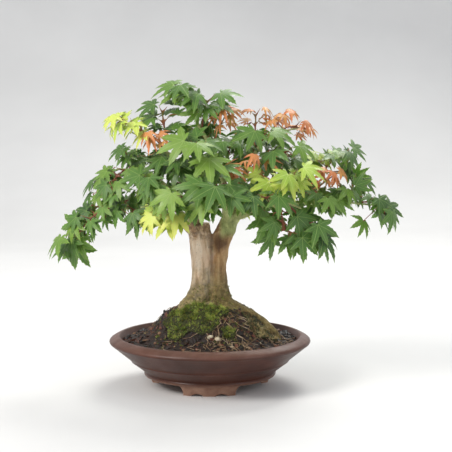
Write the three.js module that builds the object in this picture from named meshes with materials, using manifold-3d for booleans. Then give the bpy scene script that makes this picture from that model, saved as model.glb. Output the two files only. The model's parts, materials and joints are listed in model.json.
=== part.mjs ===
// A Japanese maple trained as a small, broad bonsai in a round unglazed clay pot on three cloud feet.
// Millimetres, +Z up, and the front is -Y. Everything is drawn about the pot's axis, and at the end the whole is moved
// so that the origin lies on the table under the middle of its box.
// The tree's own heights are counted from the pot's rim, so that the tree follows the pot when its height changes.
import * as THREE from 'three';
import { mergeVertices } from 'three/addons/utils/BufferGeometryUtils.js';
import Module from 'manifold-3d';

const wasm = await Module();
wasm.setup();

// ---- Driving dimensions -------------------------------------------------------------------------------------

const GAP = 0.3; // left between two pieces that touch
const WALL_GAP = 0.6; // left between the soil and the facets of the pot's inner wall

const POT = {
  height: 60,
  mouthRadius: 106.5,
  ridgeRadius: 119.5, // the widest line, where the sloping rim meets the wall
  rimDrop: 7.5, // from the mouth's edge down to the ridge
  grooveRadius: 94.5,
  grooveHeight: 30,
  lipRadius: 78.5,
  lipHeight: 15,
  footHeight: 12,
  wall: 8,
  floor: 7,
  innerFloorRadius: 64,
  sides: 36,
};
const FOOT = { count: 3, innerRadius: 61, baseRadius: 69, topRadius: 75, halfWidth: 30, flare: 8, scallop: 2.6 };
const DRAIN = { radius: 13, sides: 20 };
const TIE_HOLE = { radius: 4, reach: 44, sides: 10 };

const SCREEN = { overlap: 7, thickness: 1, holes: 5, bar: 2 };
const WIRE = { radius: 0.8, sides: 5 }; // the clip that holds the screen
const TIE = { radius: 1, sides: 5 }; // the wire that holds the root ball down

const SOIL = { belowRim: 6, insideMouth: 18.5, moundHeight: 42, fullness: 2.2, rings: 6, spokes: 24 };
const DRAWN_MOUND_RADIUS = 88; // the roots, the moss and the loose bits below are placed on a mound of this size
const MOSS = { // [centre x, y, reach, depth as a share of the reach, lobes of the edge, phase, thickness]
  front: [-17, -40, 36, 0.64, 5, 0.6, 3.4],
  tuft: [22, -60, 7, 1, 2, 1, 3.2],
  shoulder: [58, -30, 19, 0.8, 4, 2.2, 2.8],
  back: [6, 62, 27, 1, 4, 0.3, 3.4],
};
const BITS = { // [x, y, half width, half depth, half height, turn, colour] of what lies loose on the soil
  pale_pebble_1: [1, -66, 4.2, 3.2, 3, 20, 'grit'],
  pale_pebble_2: [9.5, -67, 3.8, 3.4, 2.8, -30, 'grit'],
  pink_chip: [-20, -90, 4.6, 3, 1.8, 15, 'fallen'],
};

const TREE = {
  girth: 1,
  canopyCentre: [18, 0, 118],
  divide: 30, // the leaves in front of this plane turn to the front, and the others to the back
  frontLight: new THREE.Vector3(0, -0.5, 0.36),
  backLight: new THREE.Vector3(0, 0.35, 0.4),
};
const TWIG = { baseRadius: 1.2, tipRadius: 0.8, sides: 4, steps: 2, arch: 5, behind: 26, pairs: [0.42, 0.74, 1] };
const LEAF = { thickness: 1.1, stalkRadius: 0.6, baseReach: 0.18, tries: 24, clearance: 0.5, sliver: 0.02,
  leastFacing: 0.3 }; // how far a stalk has to run the way its blade points, so that it doesn't fold back over it

const RIM = POT.height;
const FLOOR_TOP = POT.footHeight + POT.floor;
const SOIL_LEVEL = RIM - SOIL.belowRim;
const MOUND_RADIUS = POT.mouthRadius - SOIL.insideMouth;
const SPREAD = MOUND_RADIUS / DRAWN_MOUND_RADIUS; // how far the roots, the moss and the loose bits follow the mound

const COLOUR = { clay: 0x6e4435, wire: 0x9a9a94, screen: 0x24262a, soil: 0x2c1f17, moss: 0x5c7a22, dryMoss: 0x84803c,
  bark: 0xa48a6c, green: 0x4c8038, lime: 0x8cc03c, red: 0xc8643c, grit: 0xb8aa94, fallen: 0xc08a7c };

// ---- Solids -------------------------------------------------------------------------------------------------

// A closed three.js geometry as a manifold-3d solid, and back.
function solidOf(geometry) {
  const bare = geometry.clone();
  bare.deleteAttribute('normal');
  bare.deleteAttribute('uv');
  const merged = mergeVertices(bare, 1e-4);
  const mesh = { numProp: 3, vertProperties: merged.attributes.position.array, triVerts: new Uint32Array(merged.index.array) };
  const solid = new wasm.Manifold(new wasm.Mesh(mesh));
  if (solid.volume() >= 0) return solid;
  for (let i = 0; i < mesh.triVerts.length; i += 3) {
    [mesh.triVerts[i + 1], mesh.triVerts[i + 2]] = [mesh.triVerts[i + 2], mesh.triVerts[i + 1]];
  }
  return new wasm.Manifold(new wasm.Mesh(mesh));
}

function geometryOf(solid) {
  const mesh = solid.getMesh();
  return new THREE.BufferGeometry()
    .setAttribute('position', new THREE.BufferAttribute(new Float32Array(mesh.vertProperties), 3))
    .setIndex(new THREE.BufferAttribute(new Uint32Array(mesh.triVerts), 1));
}

const joined = (solids) => solids.reduce((all, solid) => all.add(solid));
const largest = (solid) => solid.decompose().reduce((a, b) => (b.volume() > a.volume() ? b : a));

const group = new THREE.Group();

function addPiece(name, solid, color, roughness = 0.8) {
  const material = new THREE.MeshStandardMaterial({ color, roughness, metalness: 0 });
  const mesh = new THREE.Mesh(geometryOf(solid), material);
  mesh.name = name;
  group.add(mesh);
  return solid;
}

// The same list of random numbers on every run.
function randomSource(seed) {
  let state = seed;
  return () => {
    state = (Math.imul(state, 1664525) + 1013904223) >>> 0;
    return state / 4294967296;
  };
}

// A profile of [radius, height] pairs from axis to axis, turned about +Z.
function turned(profile, sides) {
  const points = profile.map(([radius, height]) => new THREE.Vector2(radius, height));
  return solidOf(new THREE.LatheGeometry(points, sides).rotateX(Math.PI / 2));
}

function upright(radius, low, high, sides, x = 0, y = 0) {
  const rod = new THREE.CylinderGeometry(radius, radius, high - low, sides).rotateX(Math.PI / 2);
  return solidOf(rod.translate(x, y, (low + high) / 2));
}

// A tapering round solid along a smooth curve through the points. The radii are spread evenly along it.
function limbSolid(points, radii, sides, steps, extra = 0) {
  const curve = new THREE.CatmullRomCurve3(points.map((p) => new THREE.Vector3(...p)), false, 'centripetal');
  const frames = curve.computeFrenetFrames(steps, false);
  const positions = [];
  const indices = [];
  for (let i = 0; i <= steps; i += 1) {
    const centre = curve.getPointAt(i / steps);
    const place = (i / steps) * (radii.length - 1);
    const before = Math.min(Math.floor(place), radii.length - 2);
    const radius = THREE.MathUtils.lerp(radii[before], radii[before + 1], place - before) + extra;
    for (let j = 0; j < sides; j += 1) {
      const turn = (j / sides) * 2 * Math.PI;
      const corner = centre.clone()
        .addScaledVector(frames.normals[i], radius * Math.cos(turn))
        .addScaledVector(frames.binormals[i], radius * Math.sin(turn));
      positions.push(corner.x, corner.y, corner.z);
    }
  }
  for (let i = 0; i < steps; i += 1) {
    for (let j = 0; j < sides; j += 1) {
      const [a, b] = [i * sides + j, i * sides + ((j + 1) % sides)];
      indices.push(a, b, b + sides, a, b + sides, a + sides);
    }
  }
  const last = steps * sides;
  for (let j = 1; j < sides - 1; j += 1) {
    indices.push(0, j + 1, j, last, last + j, last + j + 1);
  }
  const geometry = new THREE.BufferGeometry();
  geometry.setAttribute('position', new THREE.Float32BufferAttribute(positions, 3));
  geometry.setIndex(indices);
  return solidOf(geometry);
}

// ---- Pot ----------------------------------------------------------------------------------------------------

const ridgeHeight = POT.height - POT.rimDrop;

const innerWall = [
  [POT.innerFloorRadius, FLOOR_TOP],
  [POT.grooveRadius - POT.wall, POT.grooveHeight + 4],
  [POT.mouthRadius - 2.5, ridgeHeight + 2],
  [POT.mouthRadius, POT.height - 1],
];

function potSolid() {
  const body = turned([
    [0, POT.footHeight],
    [POT.lipRadius - 4, POT.footHeight],
    [POT.lipRadius - 0.4, POT.lipHeight - 1.4],
    [POT.lipRadius, POT.lipHeight],
    [POT.lipRadius - 0.6, POT.lipHeight + 1.6],
    [POT.grooveRadius - 1, POT.grooveHeight - 0.6],
    [POT.grooveRadius, POT.grooveHeight],
    [POT.ridgeRadius - 2.5, ridgeHeight - 3],
    [POT.ridgeRadius, ridgeHeight],
    [POT.ridgeRadius - 5, POT.height - 2.4],
    [POT.mouthRadius + 2, POT.height],
    ...[...innerWall].reverse(),
    [0, FLOOR_TOP],
  ], POT.sides);
  let pot = joined([body, ...feet()]);
  pot = pot.subtract(upright(DRAIN.radius, 0, FLOOR_TOP + 1, DRAIN.sides));
  for (const side of [-1, 1]) {
    pot = pot.subtract(upright(TIE_HOLE.radius, 0, FLOOR_TOP + 1, TIE_HOLE.sides, side * TIE_HOLE.reach, 0));
  }
  return pot;
}

// A cloud foot: a bracket with two scallops in its lower edge, cut from a ring that slopes in towards the table.
function feet() {
  const { halfWidth, flare, scallop } = FOOT;
  const top = POT.footHeight + 1;
  const outline = new THREE.Shape();
  outline.moveTo(-halfWidth - flare, top);
  outline.quadraticCurveTo(-halfWidth - flare / 3, top * 0.4, -halfWidth, 0);
  outline.lineTo(-halfWidth * 0.72, 0);
  outline.quadraticCurveTo(-halfWidth * 0.46, scallop * 2, -halfWidth * 0.2, 0);
  outline.lineTo(halfWidth * 0.2, 0);
  outline.quadraticCurveTo(halfWidth * 0.46, scallop * 2, halfWidth * 0.72, 0);
  outline.lineTo(halfWidth, 0);
  outline.quadraticCurveTo(halfWidth + flare / 3, top * 0.4, halfWidth + flare, top);
  const depth = FOOT.topRadius;
  const bracket = solidOf(
    new THREE.ExtrudeGeometry(outline, { depth, bevelEnabled: false, curveSegments: 4 }).rotateX(Math.PI / 2),
  );
  const ring = turned([
    [FOOT.innerRadius, 0], [FOOT.baseRadius, 0], [FOOT.topRadius, top], [FOOT.innerRadius, top], [FOOT.innerRadius, 0],
  ], POT.sides);
  const front = bracket.intersect(ring);
  return Array.from({ length: FOOT.count }, (_, i) => front.rotate([0, 0, (360 / FOOT.count) * i]));
}

// ---- Drainage screen, its clip and the tie wire -------------------------------------------------------------

const screenSide = 2 * (DRAIN.radius + SCREEN.overlap);
const screenBottom = FLOOR_TOP + GAP;
const screenTop = screenBottom + SCREEN.thickness;
const meshPitch = (screenSide - SCREEN.bar) / SCREEN.holes;

function screenSolid() {
  const { thickness, holes, bar } = SCREEN;
  const middle = screenBottom + thickness / 2;
  const plate = solidOf(new THREE.BoxGeometry(screenSide, screenSide, thickness).translate(0, 0, middle));
  const openings = [];
  for (let i = 0; i < holes; i += 1) {
    for (let j = 0; j < holes; j += 1) {
      const opening = new THREE.BoxGeometry(meshPitch - bar, meshPitch - bar, 2 * thickness);
      const [x, y] = [i, j].map((place) => (place - (holes - 1) / 2) * meshPitch);
      openings.push(solidOf(opening.translate(x, y, middle)));
    }
  }
  return plate.subtract(joined(openings));
}

// A staple: a bar over the screen, two legs down through the drain hole, and ends bent out under the floor.
function clipSolid(extra = 0) {
  const bar = screenTop + GAP + WIRE.radius;
  const under = POT.footHeight - GAP - WIRE.radius;
  const leg = meshPitch;
  const half = [[leg - 2, bar], [leg, bar - 2], [leg, under + 2.4], [leg + 2.4, under], [DRAIN.radius + 6, under]];
  const points = [...half.map(([x, z]) => [-x, 0, z]).reverse(), [0, 0, bar], ...half.map(([x, z]) => [x, 0, z])];
  return limbSolid(points, [WIRE.radius, WIRE.radius], WIRE.sides, 20, extra);
}

// The tie wire runs under the floor from hole to hole, up through the soil on both sides and in over the roots.
function tieSolid(extra = 0) {
  const under = POT.footHeight - GAP - TIE.radius;
  const reach = TIE_HOLE.reach;
  const half = [
    [reach - 2.4, under], [reach, under + 3.4], [reach, FLOOR_TOP + 6],
    [reach - 1, SOIL_LEVEL - 18], [reach - 9, SOIL_LEVEL - 13],
  ];
  const lowered = WIRE.radius + TIE.radius + GAP;
  const points = [
    ...half.map(([x, z]) => [-x, 0, z]).reverse(),
    [-reach / 2, lowered * 2, under], [reach / 2, lowered * 2, under],
    ...half.map(([x, z]) => [x, 0, z]),
  ];
  return limbSolid(points, [TIE.radius, TIE.radius], TIE.sides, 26, extra);
}

// ---- Soil and moss ------------------------------------------------------------------------------------------

// The height of the soil: level near the wall, then a mound that is steepest half way up to the trunk.
function soilHeight(x, y) {
  const away = Math.min(Math.hypot(x, y * 1.08) / MOUND_RADIUS, 1);
  const rise = 0.5 * (1 + Math.cos(Math.PI * away ** SOIL.fullness));
  const lumps = 1.1 * Math.sin(x * 0.16 + 1) * Math.cos(y * 0.19) * (1 - away * away);
  return SOIL_LEVEL + SOIL.moundHeight * rise + lumps;
}

// A closed solid between two height functions, over rings that grow from a centre.
function heightSolid(edgeRadius, low, high, rings, spokes, centreX = 0, centreY = 0) {
  const positions = [];
  const indices = [];
  const spots = [[centreX, centreY]];
  for (let i = 1; i <= rings; i += 1) {
    for (let j = 0; j < spokes; j += 1) {
      const turn = (j / spokes) * 2 * Math.PI;
      const radius = (i / rings) * edgeRadius(turn);
      spots.push([centreX + radius * Math.cos(turn), centreY + radius * Math.sin(turn)]);
    }
  }
  for (const [x, y] of spots) positions.push(x, y, high(x, y));
  for (const [x, y] of spots) positions.push(x, y, low(x, y));
  const n = spots.length;
  const ringStart = (i) => 1 + (i - 1) * spokes;
  for (let j = 0; j < spokes; j += 1) {
    const k = (j + 1) % spokes;
    indices.push(0, 1 + j, 1 + k, n, n + 1 + k, n + 1 + j);
    for (let i = 1; i < rings; i += 1) {
      const [a, b, c, d] = [ringStart(i) + j, ringStart(i) + k, ringStart(i + 1) + k, ringStart(i + 1) + j];
      indices.push(a, d, c, a, c, b, n + a, n + c, n + d, n + a, n + b, n + c);
    }
    const [e, f] = [ringStart(rings) + j, ringStart(rings) + k];
    indices.push(e, n + e, n + f, e, n + f, f);
  }
  const geometry = new THREE.BufferGeometry();
  geometry.setAttribute('position', new THREE.Float32BufferAttribute(positions, 3));
  geometry.setIndex(indices);
  return solidOf(geometry);
}

const heap = heightSolid(() => POT.mouthRadius, () => FLOOR_TOP + GAP, soilHeight, SOIL.rings, SOIL.spokes);

// What lies on the soil has the soil's own facets below it.
const laidOnSoil = (solid) => solid.subtract(heap.translate([0, 0, GAP + 0.1]));

function soilSolid() {
  const inside = turned([
    [0, FLOOR_TOP + GAP],
    ...innerWall.map(([radius, height]) => [radius - WALL_GAP, height + GAP]),
    [POT.mouthRadius - WALL_GAP, RIM + 2 * SOIL.moundHeight],
    [0, RIM + 2 * SOIL.moundHeight],
  ], POT.sides);
  const pocketSide = screenSide + 2 * GAP;
  const pocket = solidOf(new THREE.BoxGeometry(pocketSide, pocketSide, 4)
    .translate(0, 0, screenTop + GAP - 2));
  return largest(heap.intersect(inside).subtract(pocket).subtract(clipSolid(GAP)).subtract(tieSolid(GAP))
    .subtract(woodSolid(GAP)));
}

function lumpSolid([drawnX, drawnY, halfWidth, halfDepth, halfHeight, turn], extra = 0) {
  const [x, y] = [drawnX * SPREAD, drawnY * SPREAD];
  const lump = new THREE.IcosahedronGeometry(1, 0);
  const tilt = Math.atan2(soilHeight(x, y + 3) - soilHeight(x, y - 3), 6);
  lump.scale(halfWidth + extra, halfDepth + extra, halfHeight + extra);
  lump.rotateZ(THREE.MathUtils.degToRad(turn)).rotateX(tilt);
  return solidOf(lump.translate(x, y, soilHeight(x, y) + halfHeight * 0.5));
}

// A moss cushion: the soil's own surface raised by the moss's thickness, inside an irregular outline.
function mossSolid([centreX, centreY, reach, depthShare, lobes, phase, thickness]) {
  const spokes = reach > 20 ? 18 : 11;
  const outline = Array.from({ length: spokes }, (_, i) => {
    const turn = (i / spokes) * 2 * Math.PI;
    const away = reach * (1 + 0.16 * Math.sin(lobes * turn + phase) + 0.07 * Math.sin((lobes + 3) * turn));
    return new THREE.Vector2(centreX + away * Math.cos(turn), centreY + away * depthShare * Math.sin(turn))
      .multiplyScalar(SPREAD);
  });
  const extent = { depth: RIM + 2 * SOIL.moundHeight, bevelEnabled: false };
  const prism = solidOf(new THREE.ExtrudeGeometry(new THREE.Shape(outline), extent));
  const pad = laidOnSoil(prism.intersect(heap.translate([0, 0, thickness])));
  const bits = Object.values(BITS).map((bit) => lumpSolid(bit, 2 * GAP));
  return largest(pad.subtract(woodSolid(GAP)).subtract(joined(bits)));
}

// ---- Wood: trunk, roots and limbs grew as one piece ---------------------------------------------------------

// Each path runs from its thick end: [x, y, height above the rim], with the radii spread evenly along it.
const STEMS = {
  left_stump: {
    path: [[-12, 0, -14], [-13, 0, 20], [-12.5, 0, 39], [-10, 0, 54], [-9, 0, 68], [-9, 0, 88], [-9.5, 0, 106],
      [-12, 0, 122], [-13, 0, 132]],
    radii: [22, 27, 23, 16, 14, 13, 13.3, 14, 13.6, 13],
  },
  right_leader: {
    path: [[10, 2, -14], [12, 2, 20], [11.5, 1, 39], [9, 0, 54], [8, 0, 68], [8, 0, 86], [10, 0, 101], [15, 1, 117],
      [21, 2, 130], [27, 3, 146], [31, 3, 156]],
    radii: [24, 28, 22.5, 15, 12.4, 11.6, 12, 12.3, 11.4, 10, 8],
  },
};

const ROOTS = [
  { path: [[14, -4, 36], [36, -8, 27], [56, -10, 19], [75, -12, 6], [85, -14, -12]], radii: [13, 10, 7.5, 5, 2.5] },
  { path: [[-18, -8, 38], [-33, -14, 26], [-48, -22, 12], [-66, -28, -10]], radii: [11, 8, 6, 3] },
  { path: [[-20, 0, 40], [-28, -2, 33], [-40, 2, 20], [-58, 6, 4], [-74, 8, -12]], radii: [9, 8.5, 7, 5, 2.5] },
  { path: [[2, -14, 34], [4, -28, 22], [9, -44, 8], [16, -60, -8]], radii: [13, 8, 5, 2.5] },
  { path: [[16, -14, 34], [30, -28, 20], [44, -46, 4], [52, -58, -10]], radii: [11, 7.5, 5, 2.5] },
  { path: [[12, 12, 36], [30, 30, 22], [46, 46, 4], [56, 56, -10]], radii: [12, 8, 5, 2.5] },
  { path: [[0, 14, 36], [-4, 34, 22], [-8, 54, 4], [-10, 66, -10]], radii: [12, 8, 5, 2.5] },
  { path: [[-16, 10, 36], [-32, 26, 22], [-48, 42, 4], [-56, 52, -10]], radii: [11, 7.5, 5, 2.5] },
];

const LIMBS = {
  left_low: { path: [[-14, 2, 118], [-42, -6, 140], [-84, -12, 152], [-122, -10, 150], [-152, -6, 138]], radii: [7, 5, 3.6, 2.4, 1.4] },
  left_mid: { path: [[-13, 4, 120], [-32, 10, 158], [-66, 14, 184], [-104, 14, 196], [-132, 12, 186]], radii: [7, 5, 3.4, 2.4, 1.4] },
  left_high: { path: [[-12, 0, 122], [-19, -4, 166], [-38, -8, 204], [-66, -10, 228], [-92, -8, 240]], radii: [6.5, 4.6, 3.4, 2.2, 1.3] },
  crown: { path: [[24, 2, 132], [17, 4, 176], [4, 6, 216], [-12, 3, 246], [-24, 0, 268]], radii: [8, 5, 3.6, 2.6, 1.4] },
  right_high: { path: [[26, 2, 138], [37, -3, 178], [50, -6, 212], [76, -4, 238], [104, 2, 244]], radii: [7.5, 4.8, 3.4, 2.4, 1.3] },
  right_mid: { path: [[29, 4, 146], [58, 8, 168], [96, 11, 186], [134, 10, 192], [162, 5, 190]], radii: [7, 4.6, 3.4, 2.2, 1.3] },
  right_low: { path: [[27, 0, 140], [66, -8, 153], [112, -14, 158], [156, -11, 158], [194, -5, 154]], radii: [7.5, 5, 3.6, 2.4, 1.4] },
  front: { path: [[22, -4, 134], [18, -34, 160], [10, -66, 172], [0, -96, 168]], radii: [6, 4, 2.8, 1.3] },
  front_left: { path: [[-14, -6, 116], [-30, -38, 146], [-52, -64, 160], [-76, -82, 158]], radii: [6, 4, 2.8, 1.3] },
  front_right: { path: [[28, -2, 140], [52, -36, 158], [80, -62, 164], [104, -82, 156]], radii: [6, 4, 2.8, 1.3] },
  back: { path: [[20, 6, 132], [16, 44, 164], [10, 80, 178], [12, 108, 170]], radii: [6, 4, 2.8, 1.3] },
  back_left: { path: [[-13, 8, 116], [-34, 46, 152], [-62, 72, 164], [-96, 84, 156]], radii: [6, 4, 2.8, 1.3] },
  back_right: { path: [[28, 6, 144], [60, 44, 168], [92, 70, 172], [122, 84, 162]], radii: [6, 4, 2.8, 1.3] },
};

const aboveRim = (path) => path.map(([x, y, z]) => [x, y, z + RIM]);
const grown = (radii) => radii.map((radius) => radius * TREE.girth);

function woodSolid(extra = 0) {
  const stems = Object.values(STEMS).map((stem) => limbSolid(aboveRim(stem.path), grown(stem.radii), 13, 11, extra));
  const spreadOut = (path) => path.map(([x, y, z]) => [x * SPREAD, y * SPREAD, z]);
  const roots = ROOTS.map((root) => limbSolid(aboveRim(spreadOut(root.path)), grown(root.radii), 7, 5, extra));
  const limbs = Object.values(LIMBS).map((limb) => limbSolid(aboveRim(limb.path), grown(limb.radii), 5, 6, extra));
  return joined([...stems, ...roots, ...limbs]);
}

// ---- Leafy shoots -------------------------------------------------------------------------------------------

const UP = new THREE.Vector3(0, 0, 1);
const LOBES = [ // [degrees from the midrib, reach as a share of the midrib]: tips with the notches between them
  [-84, 0.7], [-60, 0.36], [-39, 0.94], [-18, 0.42], [0, 1], [18, 0.42], [39, 0.94], [60, 0.36], [84, 0.7],
];

// A palmate blade on its stalk, in one closed mesh: the blade is thickest where its veins meet, its edge is sharp and
// its lobe tips droop. The stalk is a three-sided rod that runs into the blade's base.
function leafSolid({ node, hub, forward, normal, length, droop, spread, lengths }, skip = 0, grow = 0) {
  const side = new THREE.Vector3().crossVectors(normal, forward);
  const half = LEAF.thickness / 2 + grow;
  const corner = (degrees, reach) => {
    const turn = THREE.MathUtils.degToRad(degrees * spread);
    const away = reach * length + grow;
    return hub.clone()
      .addScaledVector(forward, away * Math.cos(turn))
      .addScaledVector(side, away * Math.sin(turn))
      .addScaledVector(normal, (-droop * away * away) / length);
  };
  const ring = (centre, along) => {
    const up = normal.clone().addScaledVector(along, -normal.dot(along)).normalize();
    const across = new THREE.Vector3().crossVectors(up, along);
    return [0, 120, 240].map((degrees) => {
      const turn = THREE.MathUtils.degToRad(degrees);
      const radius = LEAF.stalkRadius + grow;
      return centre.clone()
        .addScaledVector(up, radius * Math.cos(turn))
        .addScaledVector(across, radius * Math.sin(turn));
    });
  };
  const base = hub.clone().addScaledVector(forward, -LEAF.baseReach * length);
  const along = base.clone().sub(node).normalize();
  const edge = LOBES.map(([degrees, reach], i) => corner(degrees, reach * lengths[i]));
  const points = [
    ...edge,
    ...ring(base, along.clone().add(forward).normalize()),
    ...ring(node.clone().addScaledVector(along, skip), along),
    hub.clone().addScaledVector(normal, half),
    hub.clone().addScaledVector(normal, -half),
  ];
  const n = edge.length;
  const [first, last, hubTop, hubBottom] = [0, n - 1, n + 6, n + 7];
  const [top, left, right] = [n, n + 1, n + 2]; // the ring where the stalk meets the blade
  const indices = [
    hubTop, last, top, hubTop, top, first, top, last, left, first, top, right,
    hubBottom, left, last, hubBottom, right, left, hubBottom, first, right, n + 3, n + 4, n + 5,
  ];
  for (let i = first; i < last; i += 1) indices.push(hubTop, i, i + 1, hubBottom, i + 1, i);
  for (let i = 0; i < 3; i += 1) {
    const next = (i + 1) % 3;
    indices.push(n + i, n + next, n + 3 + next, n + i, n + 3 + next, n + 3 + i);
  }
  const geometry = new THREE.BufferGeometry().setFromPoints(points);
  geometry.setIndex(indices);
  return solidOf(geometry);
}

// Where each shoot ends, [x, y, height above the rim], the limb that it grows on, and its leaves' length and tone.
const SHOOTS = [
  ['left_low', [-158, -5, 114], 30, 'green'], ['left_low', [-138, -28, 140], 23, 'green'],
  ['left_low', [-92, -42, 146], 27, 'green'], ['left_low', [-112, 40, 150], 24, 'green'],
  ['left_mid', [-134, 8, 168], 23, 'green'], ['left_mid', [-112, -22, 184], 24, 'green'],
  ['left_mid', [-98, 8, 212], 22, 'green'], ['left_mid', [-72, 52, 208], 24, 'green'],
  ['left_high', [-99, -8, 250], 27, 'lime'], ['left_high', [-72, -26, 236], 18, 'red'],
  ['left_high', [-44, -42, 204], 29, 'green'], ['left_high', [-56, 4, 262], 23, 'green'],
  ['crown', [-30, -2, 280], 31, 'green'], ['crown', [-4, -14, 272], 28, 'green'],
  ['crown', [18, -10, 258], 18, 'red'], ['crown', [24, -34, 222], 25, 'green'],
  ['crown', [-18, 46, 240], 24, 'green'],
  ['right_high', [54, 4, 258], 18, 'red'], ['right_high', [88, -6, 258], 18, 'red'],
  ['right_high', [60, -38, 234], 29, 'green'], ['right_high', [108, 8, 244], 19, 'red'],
  ['right_high', [50, 54, 234], 24, 'green'],
  ['right_mid', [136, 12, 206], 23, 'lime'], ['right_mid', [160, 0, 214], 23, 'green'],
  ['right_mid', [176, 6, 184], 23, 'green'], ['right_mid', [96, 58, 208], 25, 'green'],
  ['right_mid', [86, -38, 216], 29, 'green'],
  ['right_low', [206, -5, 150], 28, 'green'], ['right_low', [162, -20, 166], 24, 'green'],
  ['right_low', [142, -32, 190], 18, 'red'], ['right_low', [132, -42, 162], 25, 'green'],
  ['front', [-14, -72, 220], 33, 'green'], ['front', [8, -98, 174], 31, 'green'],
  ['front', [20, -60, 194], 17, 'red'], ['front', [52, -56, 210], 18, 'red'],
  ['front_left', [-66, -60, 182], 29, 'green'], ['front_left', [-26, -92, 168], 31, 'green'],
  ['front_left', [-50, -76, 148], 26, 'lime'],
  ['front_right', [92, -68, 188], 29, 'lime'], ['front_right', [64, -88, 168], 30, 'green'],
  ['front_right', [84, -78, 132], 30, 'green'], ['front_right', [116, -62, 126], 31, 'green'],
  ['back', [4, 108, 186], 26, 'green'], ['back', [36, 98, 150], 24, 'lime'],
  ['back_left', [-56, 92, 164], 26, 'green'],
  ['back_right', [122, 74, 164], 26, 'green'], ['back_right', [80, 98, 170], 26, 'green'],
];
const DROOP = { green: 0.22, lime: 0.3, red: 0.62 };

const overlapping = (a, b) => a.min.every((low, i) => low < b.max[i]) && b.min.every((low, i) => low < a.max[i]);

function clashes(solid, others) {
  const box = solid.boundingBox();
  return others.some((other) => overlapping(box, other.box) && solid.intersect(other.solid).volume() > 0);
}

const boxed = (solid) => ({ solid, box: solid.boundingBox() });

// The twig leaves its limb a little behind the point nearest to the shoot's end, so that it grows forwards.
function twigCurve(limbName, end) {
  const limb = new THREE.CatmullRomCurve3(aboveRim(LIMBS[limbName].path).map((p) => new THREE.Vector3(...p)), false, 'centripetal');
  const tries = Array.from({ length: 41 }, (_, i) => i / 40);
  const nearest = tries.reduce((a, b) => (limb.getPointAt(b).distanceTo(end) < limb.getPointAt(a).distanceTo(end) ? b : a));
  const start = limb.getPointAt(Math.max(0.18, nearest - TWIG.behind / limb.getLength()));
  const middle = start.clone().lerp(end, 0.5).addScaledVector(UP, TWIG.arch);
  return new THREE.CatmullRomCurve3([start, middle, end], false, 'centripetal');
}

const canopyCentre = new THREE.Vector3(...TREE.canopyCentre).addScaledVector(UP, RIM);

// One leaf on its stalk. Its face looks out of the canopy and to the light, and its midrib points out and down.
function leafAt(node, ahead, sideways, size, tone, random, unrest) {
  const wobble = () => new THREE.Vector3(random() - 0.5, random() - 0.5, random() - 0.5).multiplyScalar(unrest);
  const stalk = sideways.clone().addScaledVector(ahead, 0.7).addScaledVector(UP, 0.25).add(wobble()).normalize();
  const hub = node.clone().addScaledVector(stalk, size * (0.5 + 0.25 * random()));
  const outward = hub.clone().sub(canopyCentre).normalize();
  const level = outward.clone().setZ(0).normalize();
  const normal = outward.clone().multiplyScalar(0.6).add(hub.y < TREE.divide ? TREE.frontLight : TREE.backLight);
  normal.add(wobble()).normalize();
  const forward = stalk.clone().addScaledVector(level, 0.45).addScaledVector(UP, -0.85).add(wobble());
  forward.addScaledVector(normal, -forward.dot(normal)).normalize();
  return {
    node, hub, forward, normal, facing: stalk.dot(forward),
    length: size * (0.85 + 0.3 * random()),
    droop: DROOP[tone] * (0.6 + 0.8 * random()),
    spread: (tone === 'red' ? 0.82 : 1) * (0.92 + 0.16 * random()),
    lengths: LOBES.map(() => 0.88 + 0.2 * random()),
  };
}

function shootSolids(wood) {
  const wires = SHOOTS.map(([limb, end]) => {
    const curve = twigCurve(limb, new THREE.Vector3(...end).addScaledVector(UP, RIM));
    const points = [0, 0.5, 1].map((t) => curve.getPointAt(t).toArray());
    const twig = (extra) => limbSolid(points, [TWIG.baseRadius, TWIG.tipRadius], TWIG.sides, TWIG.steps, extra);
    return { curve, twig: twig(0), room: boxed(twig(LEAF.clearance)) };
  });
  const grownEarlier = [];
  let bare = 0;
  const shoots = SHOOTS.map(([, , size, tone], index) => {
    const random = randomSource(977 * (index + 1));
    const { curve, twig } = wires[index];
    const parts = [twig];
    const others = [boxed(wood), ...wires.filter((_, i) => i !== index).map(({ room }) => room), ...grownEarlier];
    const own = [boxed(twig)];
    const skip = TWIG.baseRadius + 2 * LEAF.clearance; // the stalk meets its own twig on this length
    const fits = (leaf) => leaf.facing > LEAF.leastFacing && !clashes(leafSolid(leaf, 0, LEAF.clearance), others)
      && !clashes(leafSolid(leaf, skip, LEAF.clearance), own);
    TWIG.pairs.forEach((place, pair) => {
      if (tone === 'red' && pair === 0) return; // a young tip bears four leaves
      const node = curve.getPointAt(place);
      const ahead = curve.getTangentAt(place);
      for (const hand of [-1, 1]) {
        const level = new THREE.Vector3().crossVectors(ahead, UP).normalize().multiplyScalar(hand);
        const sideways = level.addScaledVector(UP, pair === 1 ? 0.5 * hand : 0.1).normalize();
        let leaf = null;
        for (let attempt = 0; attempt < LEAF.tries && !leaf; attempt += 1) {
          const tried = leafAt(node, ahead, sideways, size, tone, random, 0.25 + 0.09 * attempt);
          if (fits(tried)) leaf = tried;
        }
        if (leaf) {
          parts.push(leafSolid(leaf));
          own.push(boxed(leafSolid(leaf)));
        } else {
          bare += 1;
        }
      }
    });
    grownEarlier.push(...own.slice(1));
    return joined(parts);
  });
  console.log(`${grownEarlier.length} leaves, ${bare} places left bare`);
  return shoots;
}

// ---- The whole ----------------------------------------------------------------------------------------------

addPiece('pot', potSolid(), COLOUR.clay, 0.6);
addPiece('drainage_screen', screenSolid(), COLOUR.screen);
addPiece('screen_clip', clipSolid(), COLOUR.wire, 0.4);
addPiece('tie_wire', tieSolid(), COLOUR.wire, 0.4);
addPiece('soil', soilSolid(), COLOUR.soil, 1);

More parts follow.
